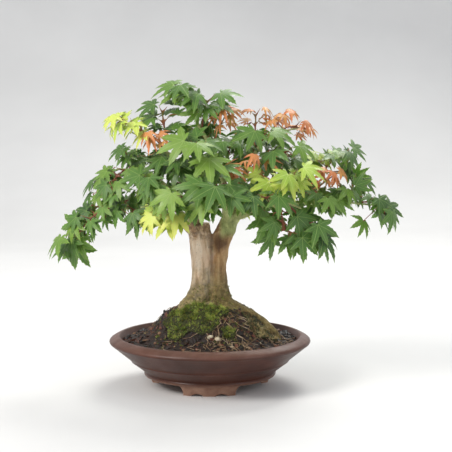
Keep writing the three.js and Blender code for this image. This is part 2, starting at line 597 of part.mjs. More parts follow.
const wood = woodSolid();
addPiece('trunk_and_limbs', wood, COLOUR.bark);
for (const [place, pad] of Object.entries(MOSS)) {
  addPiece(`moss_${place}`, mossSolid(pad), place === 'shoulder' ? COLOUR.dryMoss : COLOUR.moss, 1);
}
for (const [name, bit] of Object.entries(BITS)) addPiece(name, largest(laidOnSoil(lumpSolid(bit))), COLOUR[bit[6]]);

const woodRoom = woodSolid(GAP);
shootSolids(wood).forEach((shoot, index) => {
  const tone = SHOOTS[index][3];
  const name = `shoot_${String(index + 1).padStart(2, '0')}_${SHOOTS[index][0]}`;
  addPiece(name, largest(shoot.subtract(woodRoom)).simplify(LEAF.sliver), COLOUR[tone]);
});

const middle = new THREE.Box3().setFromObject(group).getCenter(new THREE.Vector3());
const [shiftX, shiftY] = [middle.x, middle.y].map((value) => -Math.round(value * 10) / 10);
for (const piece of group.children) piece.geometry.translate(shiftX, shiftY, 0);
console.log(`the pot's axis is at ${shiftX}, ${shiftY}`);

export default group;
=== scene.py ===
# %% [markdown]
# # A small maple in a clay pot
#
# This lesson dresses a imported model of a bonsai: a broad-crowned maple on a mossy mound of soil, in a round pot of
# unglazed clay on three cloud feet. The frame holds plain solids, each in its true place and at its true size, in
# metres, with +Z up and the viewing front at -Y. Every piece below is made around those solids, so that nothing has
# to be fitted by eye.
#
# The frame's origin is under the middle of the whole tree, but the tree is easier to describe from the pot's axis.
# So every piece is made about that axis, and is moved to its place when it is finished.

# %% Load the frame
import json
import math
import random

import bpy
import numpy as np
from mathutils import Matrix, Vector, noise
from mathutils.bvhtree import BVHTree


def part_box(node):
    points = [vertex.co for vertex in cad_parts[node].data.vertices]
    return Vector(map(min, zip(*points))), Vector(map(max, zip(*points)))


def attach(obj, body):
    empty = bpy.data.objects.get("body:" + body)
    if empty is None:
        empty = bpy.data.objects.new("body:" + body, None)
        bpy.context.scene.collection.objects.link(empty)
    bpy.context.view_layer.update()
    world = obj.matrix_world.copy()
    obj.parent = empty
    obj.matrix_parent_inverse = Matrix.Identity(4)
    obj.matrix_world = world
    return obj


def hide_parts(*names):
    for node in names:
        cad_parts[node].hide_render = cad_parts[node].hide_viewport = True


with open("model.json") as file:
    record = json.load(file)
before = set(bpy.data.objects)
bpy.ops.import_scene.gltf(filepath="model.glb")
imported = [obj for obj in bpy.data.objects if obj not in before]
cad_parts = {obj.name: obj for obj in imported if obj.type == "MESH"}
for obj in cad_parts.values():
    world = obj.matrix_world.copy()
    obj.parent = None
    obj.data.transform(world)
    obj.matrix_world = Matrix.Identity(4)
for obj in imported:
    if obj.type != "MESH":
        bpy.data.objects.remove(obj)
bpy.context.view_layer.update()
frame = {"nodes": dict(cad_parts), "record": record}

MM = 0.001
pot_low, pot_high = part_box("pot")
AXIS = Vector(((pot_low.x + pot_high.x) / 2, (pot_low.y + pot_high.y) / 2, 0))
print("the pot's axis is at", AXIS.to_tuple(4))

# %% [markdown]
# ## The camera, the light and the floor
#
# The tree is looked at from a little above the pot, through a long lens, so that the crown keeps its true width. A
# pale floor curves up behind it without a line. One large soft lamp at the front left gives the trunk its lit side,
# a weaker one fills the right, and a third from above and behind shines through the leaves.

# %% Camera
LOOK_AT = Vector((19, 0, 189)) * MM
CAMERA_AWAY = 1500 * MM
CAMERA_RISE = math.radians(5.7)
LENS = 101.2


def add_camera():
    """A camera in front of the tree, raised by CAMERA_RISE."""
    back = Vector((0, -math.cos(CAMERA_RISE), math.sin(CAMERA_RISE)))  # from what is looked at to the camera
    data = bpy.data.cameras.new("front_camera")
    data.lens, data.sensor_width, data.clip_start = LENS, 36, 0.05
    camera = bpy.data.objects.new("front_camera", data)
    bpy.context.scene.collection.objects.link(camera)
    camera.location = AXIS + LOOK_AT + back * CAMERA_AWAY
    camera.rotation_euler = back.to_track_quat("Z", "Y").to_euler()
    bpy.context.scene.camera = camera


add_camera()
bpy.context.scene.view_settings.view_transform = "Standard"
print("camera at", bpy.context.scene.camera.location)

# %% Lamps and the light of the room
LAMPS = {  # place in metres, side of the square lamp, power in watts, colour
    "key_lamp": ((-1.5, -1.2, 1.5), 0.9, 44, (1.0, 0.98, 0.94)),
    "fill_lamp": ((1.6, -1.3, 0.8), 1.4, 7, (0.95, 0.97, 1.0)),
    "back_lamp": ((0.5, 1.2, 1.7), 1.0, 30, (1.0, 1.0, 0.96)),
}


def add_lamp(name, place, side, power, colour):
    """A square area lamp that faces the crown."""
    data = bpy.data.lights.new(name, "AREA")
    data.size, data.energy, data.color = side, power, colour
    lamp = bpy.data.objects.new(name, data)
    bpy.context.scene.collection.objects.link(lamp)
    lamp.location = place
    lamp.rotation_euler = (Vector(place) - LOOK_AT).to_track_quat("Z", "Y").to_euler()


for lamp_name, lamp_facts in LAMPS.items():
    add_lamp(lamp_name, *lamp_facts)
world = bpy.data.worlds.new("white_room")
world.use_nodes = True
world.node_tree.nodes["Background"].inputs["Color"].default_value = (0.93, 0.96, 1.0, 1)
world.node_tree.nodes["Background"].inputs["Strength"].default_value = 0.66
bpy.context.scene.world = world
print(len(LAMPS), "lamps")

# %% [markdown]
# ## Short ways to work
#
# Modelling by operators needs the right thing selected in the right mode. These helpers deselect all, choose
# one object, and pick its points, edges or faces by where they are. Each finished piece keeps its place in its mesh,
# with its object at the origin, so that patterns on object coordinates stay put.

# %% Helpers for selecting and applying


def link(thing):
    """Puts a new object into the scene."""
    bpy.context.scene.collection.objects.link(thing)
    return thing


def clamp(value):
    """The value, kept between 0 and 1."""
    return min(1.0, max(0.0, value))


def pick_only(piece):
    """Deselects everything and makes this piece the active one."""
    if bpy.context.mode != "OBJECT":
        bpy.ops.object.mode_set(mode="OBJECT")
    bpy.ops.object.select_all(action="DESELECT")
    piece.select_set(True)
    bpy.context.view_layer.objects.active = piece


def select_where(piece, test, kind="VERT"):
    """In edit mode, selects just the points, edges or faces whose place passes the test."""
    bpy.ops.object.mode_set(mode="EDIT")
    bpy.ops.mesh.select_mode(type=kind)
    bpy.ops.mesh.select_all(action="DESELECT")
    bpy.ops.object.mode_set(mode="OBJECT")
    mesh = piece.data
    if kind == "VERT":
        chosen = [v for v in mesh.vertices if test(v.co)]
    elif kind == "EDGE":
        ends = [[mesh.vertices[i].co for i in e.vertices] for e in mesh.edges]
        chosen = [e for e, (a, b) in zip(mesh.edges, ends) if test((a + b) / 2)]
    else:
        chosen = [f for f in mesh.polygons if test(f.center)]
    for element in chosen:
        element.select = True
    bpy.ops.object.mode_set(mode="EDIT")
    return len(chosen)


def name_new(name):
    """Names the object that an operator has just added, and its mesh."""
    piece = bpy.context.active_object
    piece.name = piece.data.name = name
    return piece


def apply_modifier(piece, kind, **settings):
    """Adds a modifier, sets it and applies it."""
    pick_only(piece)
    modifier = piece.modifiers.new(kind.lower(), kind)
    for key, value in settings.items():
        setattr(modifier, key, value)
    bpy.ops.object.modifier_apply(modifier=modifier.name)
    return piece


def tidy_mesh(piece, merge=0.01 * MM):
    """Merges doubles and turns the faces outwards."""
    pick_only(piece)
    bpy.ops.object.mode_set(mode="EDIT")
    bpy.ops.mesh.select_all(action="SELECT")
    bpy.ops.mesh.remove_doubles(threshold=merge)
    bpy.ops.mesh.normals_make_consistent(inside=False)
    bpy.ops.object.mode_set(mode="OBJECT")
    return piece


def settle(piece):
    """Puts the object at the origin, unturned and unscaled, with its place in its mesh."""
    pick_only(piece)
    bpy.ops.object.transform_apply(location=True, rotation=True, scale=True)
    return piece


def copy_of_node(node, name):
    """A merged copy of a solid of the frame, about the pot's axis, to be shaped into a finer piece."""
    copy = link(bpy.data.objects.new(name, frame["nodes"][node].data.copy()))
    copy.data.materials.clear()
    copy.data.transform(Matrix.Translation(-AXIS))
    return tidy_mesh(copy, merge=0.001 * MM)


def turned_copy(piece, angle):
    """A copy with a mesh of its own, turned about the upright axis."""
    copy = piece.copy()
    copy.data = piece.data.copy()
    link(copy).rotation_euler = (0, 0, angle)
    return settle(copy)


def join_all(pieces, name):
    """Joins separate objects into one piece."""
    pick_only(pieces[0])
    for other in pieces[1:]:
        other.select_set(True)
    bpy.ops.object.join()
    return name_new(name)


def new_mesh_piece(name, points, faces):
    """An object from lists of points and faces."""
    mesh = bpy.data.meshes.new(name)
    mesh.from_pydata([tuple(p) for p in points], [], faces)
    mesh.update()
    return link(bpy.data.objects.new(name, mesh))


def points_of(piece):
    """The piece's points as rows of numbers."""
    rows = np.empty(len(piece.data.vertices) * 3)
    piece.data.vertices.foreach_get("co", rows)
    return rows.reshape(-1, 3)


def normals_of(piece):
    """The directions in which the piece's points face, as rows."""
    rows = np.empty(len(piece.data.vertices) * 3)
    piece.data.vertices.foreach_get("normal", rows)
    return rows.reshape(-1, 3)


def move_points(piece, rows):
    """Puts the piece's points where the rows say."""
    piece.data.vertices.foreach_set("co", np.asarray(rows, np.float32).ravel())
    piece.data.update()


def finish_piece(piece, material, slot, *nodes, angle=40):
    """Moves the piece to its place. It rides on the tree's one body and stands for the named solids."""
    pick_only(piece)
    piece.data.transform(Matrix.Translation(AXIS))
    bpy.ops.object.shade_smooth_by_angle(angle=math.radians(angle))
    if material:
        piece.data.materials.clear()
        piece.data.materials.append(material)
    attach(piece, "root")
    if nodes:
        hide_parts(*nodes)
    low, high = points_of(piece).min(0), points_of(piece).max(0)
    size = [round(float(v), 1) for v in (high - low) / MM]
    print(piece.name, len(piece.data.polygons), "faces,", size, "mm")
    return piece


print("helpers ready")

# %% [markdown]
# ## Short ways to mix a finish
#
# Every finish is a Principled shader fed by a few patterns on object coordinates. A small class keeps the wiring
# short: it adds a node, sets or links its inputs, and gives back the output that the next node needs.

# %% A helper for finishes


def seen(red, green, blue):
    """A colour as it looks on a screen, 0 to 255 a channel, as the linear values that a shader takes."""
    linear = [c / 12.92 if c <= 0.04045 else ((c + 0.055) / 1.055) ** 2.4 for c in (red / 255, green / 255, blue / 255)]
    return (*linear, 1.0)


class Finish:
    """A new material, with short ways to add nodes to it."""

    def __init__(self, name, **sockets):
        self.material = bpy.data.materials.new(name)
        self.material.use_nodes = True
        self.tree = self.material.node_tree
        self.shader = self.tree.nodes["Principled BSDF"]
        seat = {"Vector": self.node("TexCoord").outputs["Object"], "Location": -AXIS}
        self.place = self.node("Mapping", seat).outputs["Vector"]  # coordinates about the pot's axis
        self.set(self.shader, sockets)

    def set(self, node, sockets):
        for key, value in sockets.items():
            socket = node.inputs[key.replace("_", " ") if isinstance(key, str) else key]
            if isinstance(value, bpy.types.NodeSocket):
                self.tree.links.new(value, socket)
            else:
                socket.default_value = value

    def node(self, kind, sockets=None, **settings):
        made = self.tree.nodes.new("ShaderNode" + kind)
        for key, value in settings.items():
            setattr(made, key, value)
        self.set(made, sockets or {})
        return made

    def stretched(self, scale):
        return self.node("Mapping", {"Vector": self.place, "Scale": scale}).outputs["Vector"]

    def noise(self, scale, detail=3, roughness=0.55, place=None):
        sockets = {"Vector": place or self.place, "Scale": scale, "Detail": detail, "Roughness": roughness}
        return self.node("TexNoise", sockets).outputs["Fac"]

    def cells(self, scale, output="Distance"):
        return self.node("TexVoronoi", {"Vector": self.place, "Scale": scale}).outputs[output]

    def ramp(self, factor, *stops):
        made = self.node("ValToRGB", {"Fac": factor})
        band = made.color_ramp
        while len(band.elements) < len(stops):
            band.elements.new(1.0)
        for element, (position, colour) in zip(band.elements, stops):
            element.position = position
            element.color = colour if isinstance(colour, tuple) else (colour, colour, colour, 1)
        return made.outputs["Color"]

    def mix(self, factor, first, second, blend="MIX"):
        made = self.node("Mix", {0: factor, 6: first, 7: second}, data_type="RGBA", blend_type=blend)
        return made.outputs[2]

    def maths(self, operation, first, second=0.0):
        return self.node("Math", {0: first, 1: second}, operation=operation).outputs[0]

    def times(self, first, second):
        return self.maths("MULTIPLY", first, second)

    def plus(self, first, second):
        return self.maths("ADD", first, second)

    def less(self, first, second):
        return self.maths("SUBTRACT", first, second)

    def axis(self, letter):
        return self.node("SeparateXYZ", {"Vector": self.place}).outputs[letter]

    def between(self, value, low, high):
        sockets = {"Value": value, "From Min": low, "From Max": high}
        return self.node("MapRange", sockets, interpolation_type="SMOOTHSTEP").outputs["Result"]

    def attribute(self, name):
        return self.node("Attribute", attribute_name=name).outputs["Fac"]

    def bump(self, height, distance, strength=1.0, under=None):
        sockets = {"Height": height, "Distance": distance, "Strength": strength}
        if under:
            sockets["Normal"] = under
        return self.node("Bump", sockets).outputs["Normal"]

    def done(self, **sockets):
        self.set(self.shader, sockets)
        return self.material


print("finish helper ready")

# %% [markdown]
# ## The pot's body
#
# The pot is thrown and turned: a round floor, a wall that leans out at about forty-five degrees, a broad sloping rim
# and a small rounded bead at the foot. A lathe profile could be spun, but a potter pulls the wall up ring by ring, and
# so do we: a circle is extruded and resized again and again, out along the floor, up the wall, over the rim, and
# down the inside to the drain hole. The last ring lands on the first one and is merged with it.

# %% Pull the pot's wall up, ring by ring
POT_SIDES = 144
POT_RINGS = [  # radius and height in mm, from the drain hole's lower edge, round the outside, back to its upper edge
    (13, 12.6), (13.6, 12), (40, 12), (70, 12), (74.6, 12), (76.4, 12.2), (77.7, 12.9), (78.4, 14), (78.5, 15),
    (78, 16), (77.6, 16.7), (77.9, 17.5), (80.2, 19.4), (86, 24), (91.6, 28.4), (93.3, 29.6), (94.1, 30.1),
    (94.4, 30.6), (94.4, 31.3), (95, 32.1), (97.6, 34.3), (102, 37.9), (107, 42), (112, 46.1), (115.2, 48.8),
    (117.6, 50.6), (118.9, 51.7), (119.4, 52.8), (119.2, 54), (118, 55.3), (115.8, 56.7), (112.6, 58.4),
    (110.2, 59.4), (108.6, 59.8), (107.3, 59.4),
    (106.3, 58), (105.2, 55.6), (102, 51), (95, 42.8), (86.6, 34), (76, 26), (68, 20.8), (65.4, 19.5),
    (62, 19), (40, 19), (13.6, 19), (13, 18.4),
]


def pull_rings(rings, sides, name):
    """Extrudes a circle through the rings and joins the last one to the first."""
    (first_radius, first_height), *others = [(r * MM, z * MM) for r, z in rings]
    bpy.ops.mesh.primitive_circle_add(vertices=sides, radius=first_radius, location=(0, 0, first_height))
    piece = name_new(name)
    settle(piece)
    pick_only(piece)
    bpy.ops.object.mode_set(mode="EDIT")
    bpy.ops.mesh.select_all(action="SELECT")
    radius, height = first_radius, first_height
    for next_radius, next_height in [*others, (first_radius, first_height)]:
        rise = {"value": (0, 0, next_height - height)}
        bpy.ops.mesh.extrude_region_move(TRANSFORM_OT_translate=rise)
        share = next_radius / radius
        bpy.ops.transform.resize(value=(share, share, 1), center_override=(0, 0, next_height))
        radius, height = next_radius, next_height
    bpy.ops.object.mode_set(mode="OBJECT")
    return tidy_mesh(piece)


pot = pull_rings(POT_RINGS, POT_SIDES, "clay_pot")
print("pot wall", len(pot.data.polygons), "faces,", round(max(pot.dimensions[:2]) / MM, 1), "mm across")

# %% [markdown]
# ## The cloud feet and the holes
#
# Each foot is a low bracket that follows the pot's round, with two shallow scallops in its lower edge and hollowed
# ends. A slab is spun through the foot's arc, and the scallops and the hollow ends are carved from it by round
# cutters, as a potter would cut them with a wire loop. One foot is made and copied twice. The feet are then united
# with the pot, because the clay is one fired piece, and two small holes for the tie wire are drilled.

# %% Spin and carve one foot
FOOT_INNER, FOOT_SOLE, FOOT_TOP, FOOT_HEIGHT = 61 * MM, 69 * MM, 74.6 * MM, 13 * MM
FOOT_ARC = math.radians(68)
CUTTERS = [(13.8, -8.2, 11.2), (-13.8, -8.2, 11.2), (45, 1, 15), (-45, 1, 15)]  # x, height and radius in mm


def spin_foot():
    """A wedge-shaped slab, spun about the pot's axis and centred on the front."""
    bpy.ops.mesh.primitive_plane_add(size=1, rotation=(math.pi / 2, 0, 0))
    foot = name_new("cloud_foot")
    width = FOOT_TOP - FOOT_INNER
    foot.scale = (width, FOOT_HEIGHT, 1)
    foot.location = (FOOT_INNER + width / 2, 0, FOOT_HEIGHT / 2)
    settle(foot)
    select_where(foot, lambda co: co.x > FOOT_INNER + MM and co.z < MM)
    bpy.ops.transform.translate(value=(FOOT_SOLE - FOOT_TOP, 0, 0))
    bpy.ops.mesh.select_all(action="SELECT")
    bpy.ops.mesh.spin(steps=28, angle=FOOT_ARC, center=(0, 0, 0), axis=(0, 0, 1))
    bpy.ops.object.mode_set(mode="OBJECT")
    tidy_mesh(foot)
    return foot


def cut_with(piece, cutter, operation="DIFFERENCE"):
    """Applies an exact boolean and removes the cutter."""
    apply_modifier(piece, "BOOLEAN", object=cutter, operation=operation, solver="EXACT")
    bpy.data.objects.remove(cutter)


def rod(radius, length, place, turn=(0, 0, 0), sides=48):
    bpy.ops.mesh.primitive_cylinder_add(vertices=sides, radius=radius, depth=length, location=place, rotation=turn)
    return settle(name_new("rod"))


foot = spin_foot()
lowest = math.atan2(*reversed(points_of(foot)[:, :2].mean(0)))
foot.rotation_euler = (0, 0, -math.pi / 2 - lowest)
settle(foot)
for x, z, radius in CUTTERS:
    cut_with(foot, rod(radius * MM, 80 * MM, (x * MM, -70 * MM, z * MM), (math.pi / 2, 0, 0)))
apply_modifier(foot, "BEVEL", width=0.8 * MM, segments=3, limit_method="ANGLE", angle_limit=math.radians(32))
print("foot", len(foot.data.polygons), "faces")

# %% Unite the feet with the pot and drill the holes
for i in range(3):
    cut_with(pot, turned_copy(foot, math.radians(120 * i)), "UNION")
bpy.data.objects.remove(foot)
for side in (-1, 1):
    cut_with(pot, rod(4 * MM, 20 * MM, (side * 44 * MM, 0, 15 * MM), sides=24))
tidy_mesh(pot)
print("pot with feet", len(pot.data.polygons), "faces")

# %% [markdown]
# ## Burnished clay
#
# The clay is fired without a glaze, to a red-brown. Handling has left it satin rather than matt. The rim and
# the feet are paler and a little mauve, and on the rim's crest and top this paleness is partly a painted highlight.
# Faint turning lines run round the wall, and fine specks of grog show. Height above the table is enough to tell the
# rim and the feet from the wall.

# %% The clay finish


def clay_finish():
    f = Finish("burnished_brown_clay", Specular_IOR_Level=0.32)
    height = f.axis("Z")
    broad = f.noise(22, detail=4, place=f.stretched((1, 1, 2.5)))
    body = f.ramp(broad, (0.3, seen(58, 28, 18)), (0.55, seen(72, 37, 24)), (0.75, seen(88, 47, 32)))
    pale_with_highlight = f.ramp(f.noise(60, detail=5), (0.35, seen(100, 72, 62)), (0.7, seen(128, 97, 86)))
    # the rim's crest and top turn paler: partly a paler clay, partly a painted highlight
    crest_highlight = f.times(f.between(height, 0.0505, 0.0575), 0.62)
    body = f.mix(crest_highlight, body, pale_with_highlight)
    sandy = f.ramp(f.noise(120, detail=4), (0.3, seen(132, 96, 78)), (0.7, seen(166, 130, 110)))
    foot = f.times(f.less(1.0, f.between(height, 0.010, 0.0165)), 0.85)
    body = f.mix(foot, body, sandy)
    plain = (0.5, 0.5, 0.5, 1)  # leaves the colour under it as it is
    specks = f.ramp(f.noise(1400, detail=2), (0.36, seen(52, 30, 25)), (0.46, plain), (0.62, plain),
                    (0.74, seen(235, 215, 200)))
    body = f.mix(0.22, body, specks, "OVERLAY")
    lines = f.noise(1.0, detail=4, place=f.stretched((4, 4, 620)))
    bump = f.bump(lines, 0.00035, 0.35)
    bump = f.bump(f.noise(900, detail=3), 0.00022, 0.5, under=bump)
    rough = f.ramp(f.noise(45, detail=4), (0.3, 0.3), (0.7, 0.46))
    return f.done(Base_Color=body, Roughness=rough, Normal=bump)


clay = clay_finish()
finish_piece(pot, clay, "pot_clay", "pot", angle=35)

# %% [markdown]
# ## The screen, its clip and the tie wire
#
# Under the pot the drain hole shows a square of black plastic mesh, held by a staple of aluminium wire, and a longer
# wire that ties the root ball down. The wires are bent round rod: their solids have few sides, so a copy is merged
# and subdivided until it is round. The mesh gets a small bevel on its bars.

# %% Wires and screen


def wire_finish():
    f = Finish("dull_aluminium_wire", Metallic=1.0)
    tint = f.ramp(f.noise(300, detail=4), (0.3, seen(120, 112, 102)), (0.7, seen(168, 162, 152)))
    rough = f.ramp(f.noise(700, detail=3), (0.3, 0.35), (0.7, 0.6))
    return f.done(Base_Color=tint, Roughness=rough, Normal=f.bump(f.noise(1200), 0.0001, 0.4))


def screen_finish():
    f = Finish("black_mesh_plastic")
    tint = f.ramp(f.noise(500, detail=3), (0.3, seen(26, 27, 30)), (0.7, seen(44, 44, 46)))
    return f.done(Base_Color=tint, Roughness=f.ramp(f.noise(800), (0.3, 0.45), (0.7, 0.65)))


wire_metal = wire_finish()
for node, name in (("screen_clip", "round_screen_clip"), ("tie_wire", "round_tie_wire")):
    wire = copy_of_node(node, name)
    apply_modifier(wire, "SUBSURF", levels=2, render_levels=2)
    finish_piece(wire, wire_metal, "aluminium_wire", node, angle=60)
screen = copy_of_node("drainage_screen", "drain_mesh")
apply_modifier(screen, "BEVEL", width=0.15 * MM, segments=2, limit_method="ANGLE", angle_limit=math.radians(40))
finish_piece(screen, screen_finish(), "screen_plastic", "drainage_screen")

# %% [markdown]
# ## The soil
#
# The soil is a moist mix of clay grit and broken bark, heaped up to the trunk. Its solid gives the level and
# the mound. A copy is remeshed to an even skin and roughened by noise, and 1800 loose crumbs and bark
# chips are then laid on it, because a rough surface alone looks like cast metal. A tree of the solid's faces tells how
# high the ground is at any place.

# %% The ground and how high it is
WALL_RADIUS = 104 * MM
rng = random.Random(41)


def ground_of(node):
    """A search tree of a solid's faces."""
    mesh = frame["nodes"][node].data
    return BVHTree.FromPolygons([v.co - AXIS for v in mesh.vertices], [tuple(p.vertices) for p in mesh.polygons])


soil_tree, wood_tree = ground_of("soil"), ground_of("trunk_and_limbs")
moss_trees = {place: ground_of("moss_" + place) for place in ("front", "tuft", "shoulder", "back")}


def ground_at(x, y, tree=soil_tree, top=0.13):
    """The point and the normal where a line from above meets the ground, or None."""
    place, normal, _, _ = tree.ray_cast(Vector((x, y, top)), Vector((0, 0, -1)))
    return None if place is None else (place, normal)


def under_cover(x, y):
    """True where the trunk or a root covers the ground."""
    place, _, _, _ = wood_tree.ray_cast(Vector((x, y, 0.11)), Vector((0, 0, -1)))
    ground = ground_at(x, y)
    return ground is None or (place is not None and place.z > ground[0].z)


ground = copy_of_node("soil", "potting_soil")
apply_modifier(ground, "REMESH", mode="VOXEL", voxel_size=1.7 * MM)
apply_modifier(ground, "SMOOTH", factor=0.5, iterations=3)


def roughen(piece, amount, scale, only_above=-1.0):
    """Pushes points in and out along their normals by layered noise."""
    rows, normals = points_of(piece), normals_of(piece)
    for i, row in enumerate(rows):
        if row[2] > only_above:
            row += normals[i] * amount * noise.fractal(Vector(row) * scale, 0.7, 2.0, 4)
    move_points(piece, rows)


roughen(ground, 1.1 * MM, 130, only_above=50 * MM)
print("ground", len(ground.data.polygons), "faces")

# %% Crumbs and bark chips, each modelled once
CRUMBS, CHIPS = 1500, 300


def crumb_shape(name, stretch, seed):
    """A small lump: an icosphere with its points nudged."""
    bpy.ops.mesh.primitive_ico_sphere_add(subdivisions=1, radius=1)
    lump = name_new(name)
    nudge = random.Random(seed)
    rows = points_of(lump) * np.array([[nudge.uniform(0.72, 1.18)] for _ in lump.data.vertices])
    move_points(lump, rows * np.array(stretch))
    return lump


def chip_shape(name, seed):
    """A splinter of bark: a slab, inset on top and pulled out of square."""
    bpy.ops.mesh.primitive_cube_add(size=2)
    chip = name_new(name)
    select_where(chip, lambda co: co.z > 0.5, "FACE")
    bpy.ops.mesh.inset(thickness=0.35, depth=0.25)
    bpy.ops.object.mode_set(mode="OBJECT")
    nudge = random.Random(seed)
    rows = points_of(chip) * np.array([[nudge.uniform(0.6, 1.15) for _ in range(3)] for _ in chip.data.vertices])
    move_points(chip, rows * np.array((1.0, 0.5, 0.22)))
    return chip


class Heap:
    """Many copies of a few shapes, gathered into one mesh. Each copy has a tone, and each point its share of height."""

    def __init__(self, shapes):
        self.shapes = [(points_of(s), [tuple(p.vertices) for p in s.data.polygons]) for s in shapes]
        for shape in shapes:
            bpy.data.objects.remove(shape)
        self.points, self.faces, self.tones, self.tips, self.count = [], [], [], [], 0

    def add(self, index, matrix, tone):
        rows, faces = self.shapes[index]
        turned = rows @ np.array(matrix.to_3x3()).T + np.array(matrix.translation)
        self.points.append(turned)
        self.faces += [tuple(i + self.count for i in face) for face in faces]
        self.tones += [tone] * len(rows)
        self.tips += [float(v) for v in np.clip(rows[:, 2] / rows[:, 2].max(), 0, 1)]
        self.count += len(rows)

    def piece(self, name):
        made = new_mesh_piece(name, np.concatenate(self.points), self.faces)
        made.data.attributes.new("tone", "FLOAT", "POINT").data.foreach_set("value", self.tones)
        made.data.attributes.new("tip", "FLOAT", "POINT").data.foreach_set("value", self.tips)
        return made


def laid_on(place, normal, size, tilt=0.5):
    """A matrix that turns a shape by chance and lays it on the ground there."""
    lean = (normal + Vector([rng.uniform(-tilt, tilt) for _ in range(3)])).normalized()
    turn = lean.to_track_quat("Z", "Y").to_matrix().to_4x4() @ Matrix.Rotation(rng.uniform(0, 6.28), 4, "Z")
    scale = Matrix.Diagonal((*(size * rng.uniform(0.8, 1.25) for _ in range(3)), 1))
    return Matrix.Translation(place) @ turn @ scale


def open_ground():
    """A random place on the soil that the wood and the pot leave free."""
    while True:
        angle, away = rng.uniform(0, 2 * math.pi), WALL_RADIUS * math.sqrt(rng.random())
        x, y = away * math.cos(angle), away * math.sin(angle)
        found = ground_at(x, y)
        if found and not under_cover(x, y):
            return found


crumb_heap = Heap([crumb_shape("crumb", (1, 1, 0.8), 1), crumb_shape("long_crumb", (1.4, 0.8, 0.7), 2),
                   chip_shape("chip", 3), chip_shape("long_chip", 4)])
for i in range(CRUMBS + CHIPS):
    spot, lie = open_ground()
    is_chip = i >= CRUMBS
    size = rng.uniform(1.6, 4.2) * MM if is_chip else rng.triangular(0.7, 2.6, 1.1) * MM
    inside = min(1.0, (WALL_RADIUS - size * 1.3) / max(math.hypot(spot.x, spot.y), MM))
    spot = Vector((spot.x * inside, spot.y * inside, spot.z + size * 0.15))
    crumb_heap.add(rng.choice((2, 3) if is_chip else (0, 1)), laid_on(spot, lie, size), rng.random())
crumbs = crumb_heap.piece("soil_crumbs")
print("crumbs and chips", CRUMBS + CHIPS, "copies,", len(crumbs.data.polygons), "faces")

# %% [markdown]
# ## The finish of damp soil
#
# Most crumbs are nearly black with damp, and a few are tan, brick red or grey. Each copy has its own tone, and the tone
# chooses its colour on a ramp. The ground under them takes its colour from cells of the same size.

# %% Soil finishes
SOIL_RAMP = [(0.0, seen(14, 8, 5)), (0.35, seen(26, 15, 10)), (0.62, seen(40, 23, 15)), (0.8, seen(66, 38, 25)),
             (0.91, seen(108, 56, 38)), (0.97, seen(146, 112, 84))]


def ground_finish():
    f = Finish("damp_ground")
    tone = f.cells(420, output="Color")
    fine = f.ramp(f.noise(900, detail=4), (0.3, seen(14, 9, 7)), (0.7, seen(50, 33, 25)))
    tint = f.mix(0.5, f.ramp(tone, *SOIL_RAMP[:5]), fine)
    bump = f.bump(f.cells(420), 0.0012, 0.8)
    bump = f.bump(f.noise(1500, detail=4), 0.0004, 0.7, under=bump)
    return f.done(Base_Color=tint, Roughness=f.ramp(f.noise(200), (0.3, 0.5), (0.7, 0.9)), Normal=bump)


def crumb_finish():
    f = Finish("damp_crumbs")
    tint = f.ramp(f.attribute("tone"), *SOIL_RAMP)
    tint = f.mix(f.ramp(f.noise(700, detail=4), (0.35, 0.0), (0.75, 0.5)), tint, seen(16, 9, 7))
    bump = f.bump(f.noise(2200, detail=3), 0.0002, 0.8)
    return f.done(Base_Color=tint, Roughness=f.ramp(f.noise(300), (0.35, 0.42), (0.7, 0.85)), Normal=bump)


finish_piece(ground, ground_finish(), "soil", "soil", angle=70)
finish_piece(crumbs, crumb_finish(), "soil", angle=30)

# %% [markdown]
# ## The trunk, the roots and the limbs
#
# The trunk is short and thick. It looks like two stems that grew together: the left one was cut off long ago, and the
# right one became the leader. One solid holds all the wood. Its copy is remeshed to an even skin, so that forks and
# root crotches blend, and is then carved by moving points: long furrows on the old trunk, knots and a hollow where
# they belong, and hardly anything on the young limbs.

# %% Remesh and carve the wood
TRUNK_TOP, OLD_REACH = 0.19, 0.034  # where the old bark ends, upwards and outwards
SEAM_FOOT = 0.115  # where the seam between the stems begins
KNOTS = [  # centre and reach in mm, then how far the wood stands out or sinks in
    ((-27, -6, 103), 9, 2.2), ((-26, -10, 92), 8, 1.6), ((17, -18, 106), 4, 1.6), ((-22, -8, 126), 5, 1.2),
    ((6, -14, 172), 11, -3.6), ((0, -13, 184), 8, -2.4), ((14, -13, 168), 5, 1.4), ((-2, -16, 150), 4, -1.0),
    ((2, -18, 100), 4, 1.6), ((30, -16, 92), 8, 1.6), ((-6, 14, 150), 8, -2.0), ((12, 14, 140), 5, 1.4),
    ((-14, -10, 190), 5, -1.2), ((-23, 3, 140), 5, 1.0), ((20, 6, 128), 6, 1.2),
]

wood = copy_of_node("trunk_and_limbs", "maple_wood")
apply_modifier(wood, "REMESH", mode="VOXEL", voxel_size=1.25 * MM)
apply_modifier(wood, "SMOOTH", factor=0.5, iterations=5)


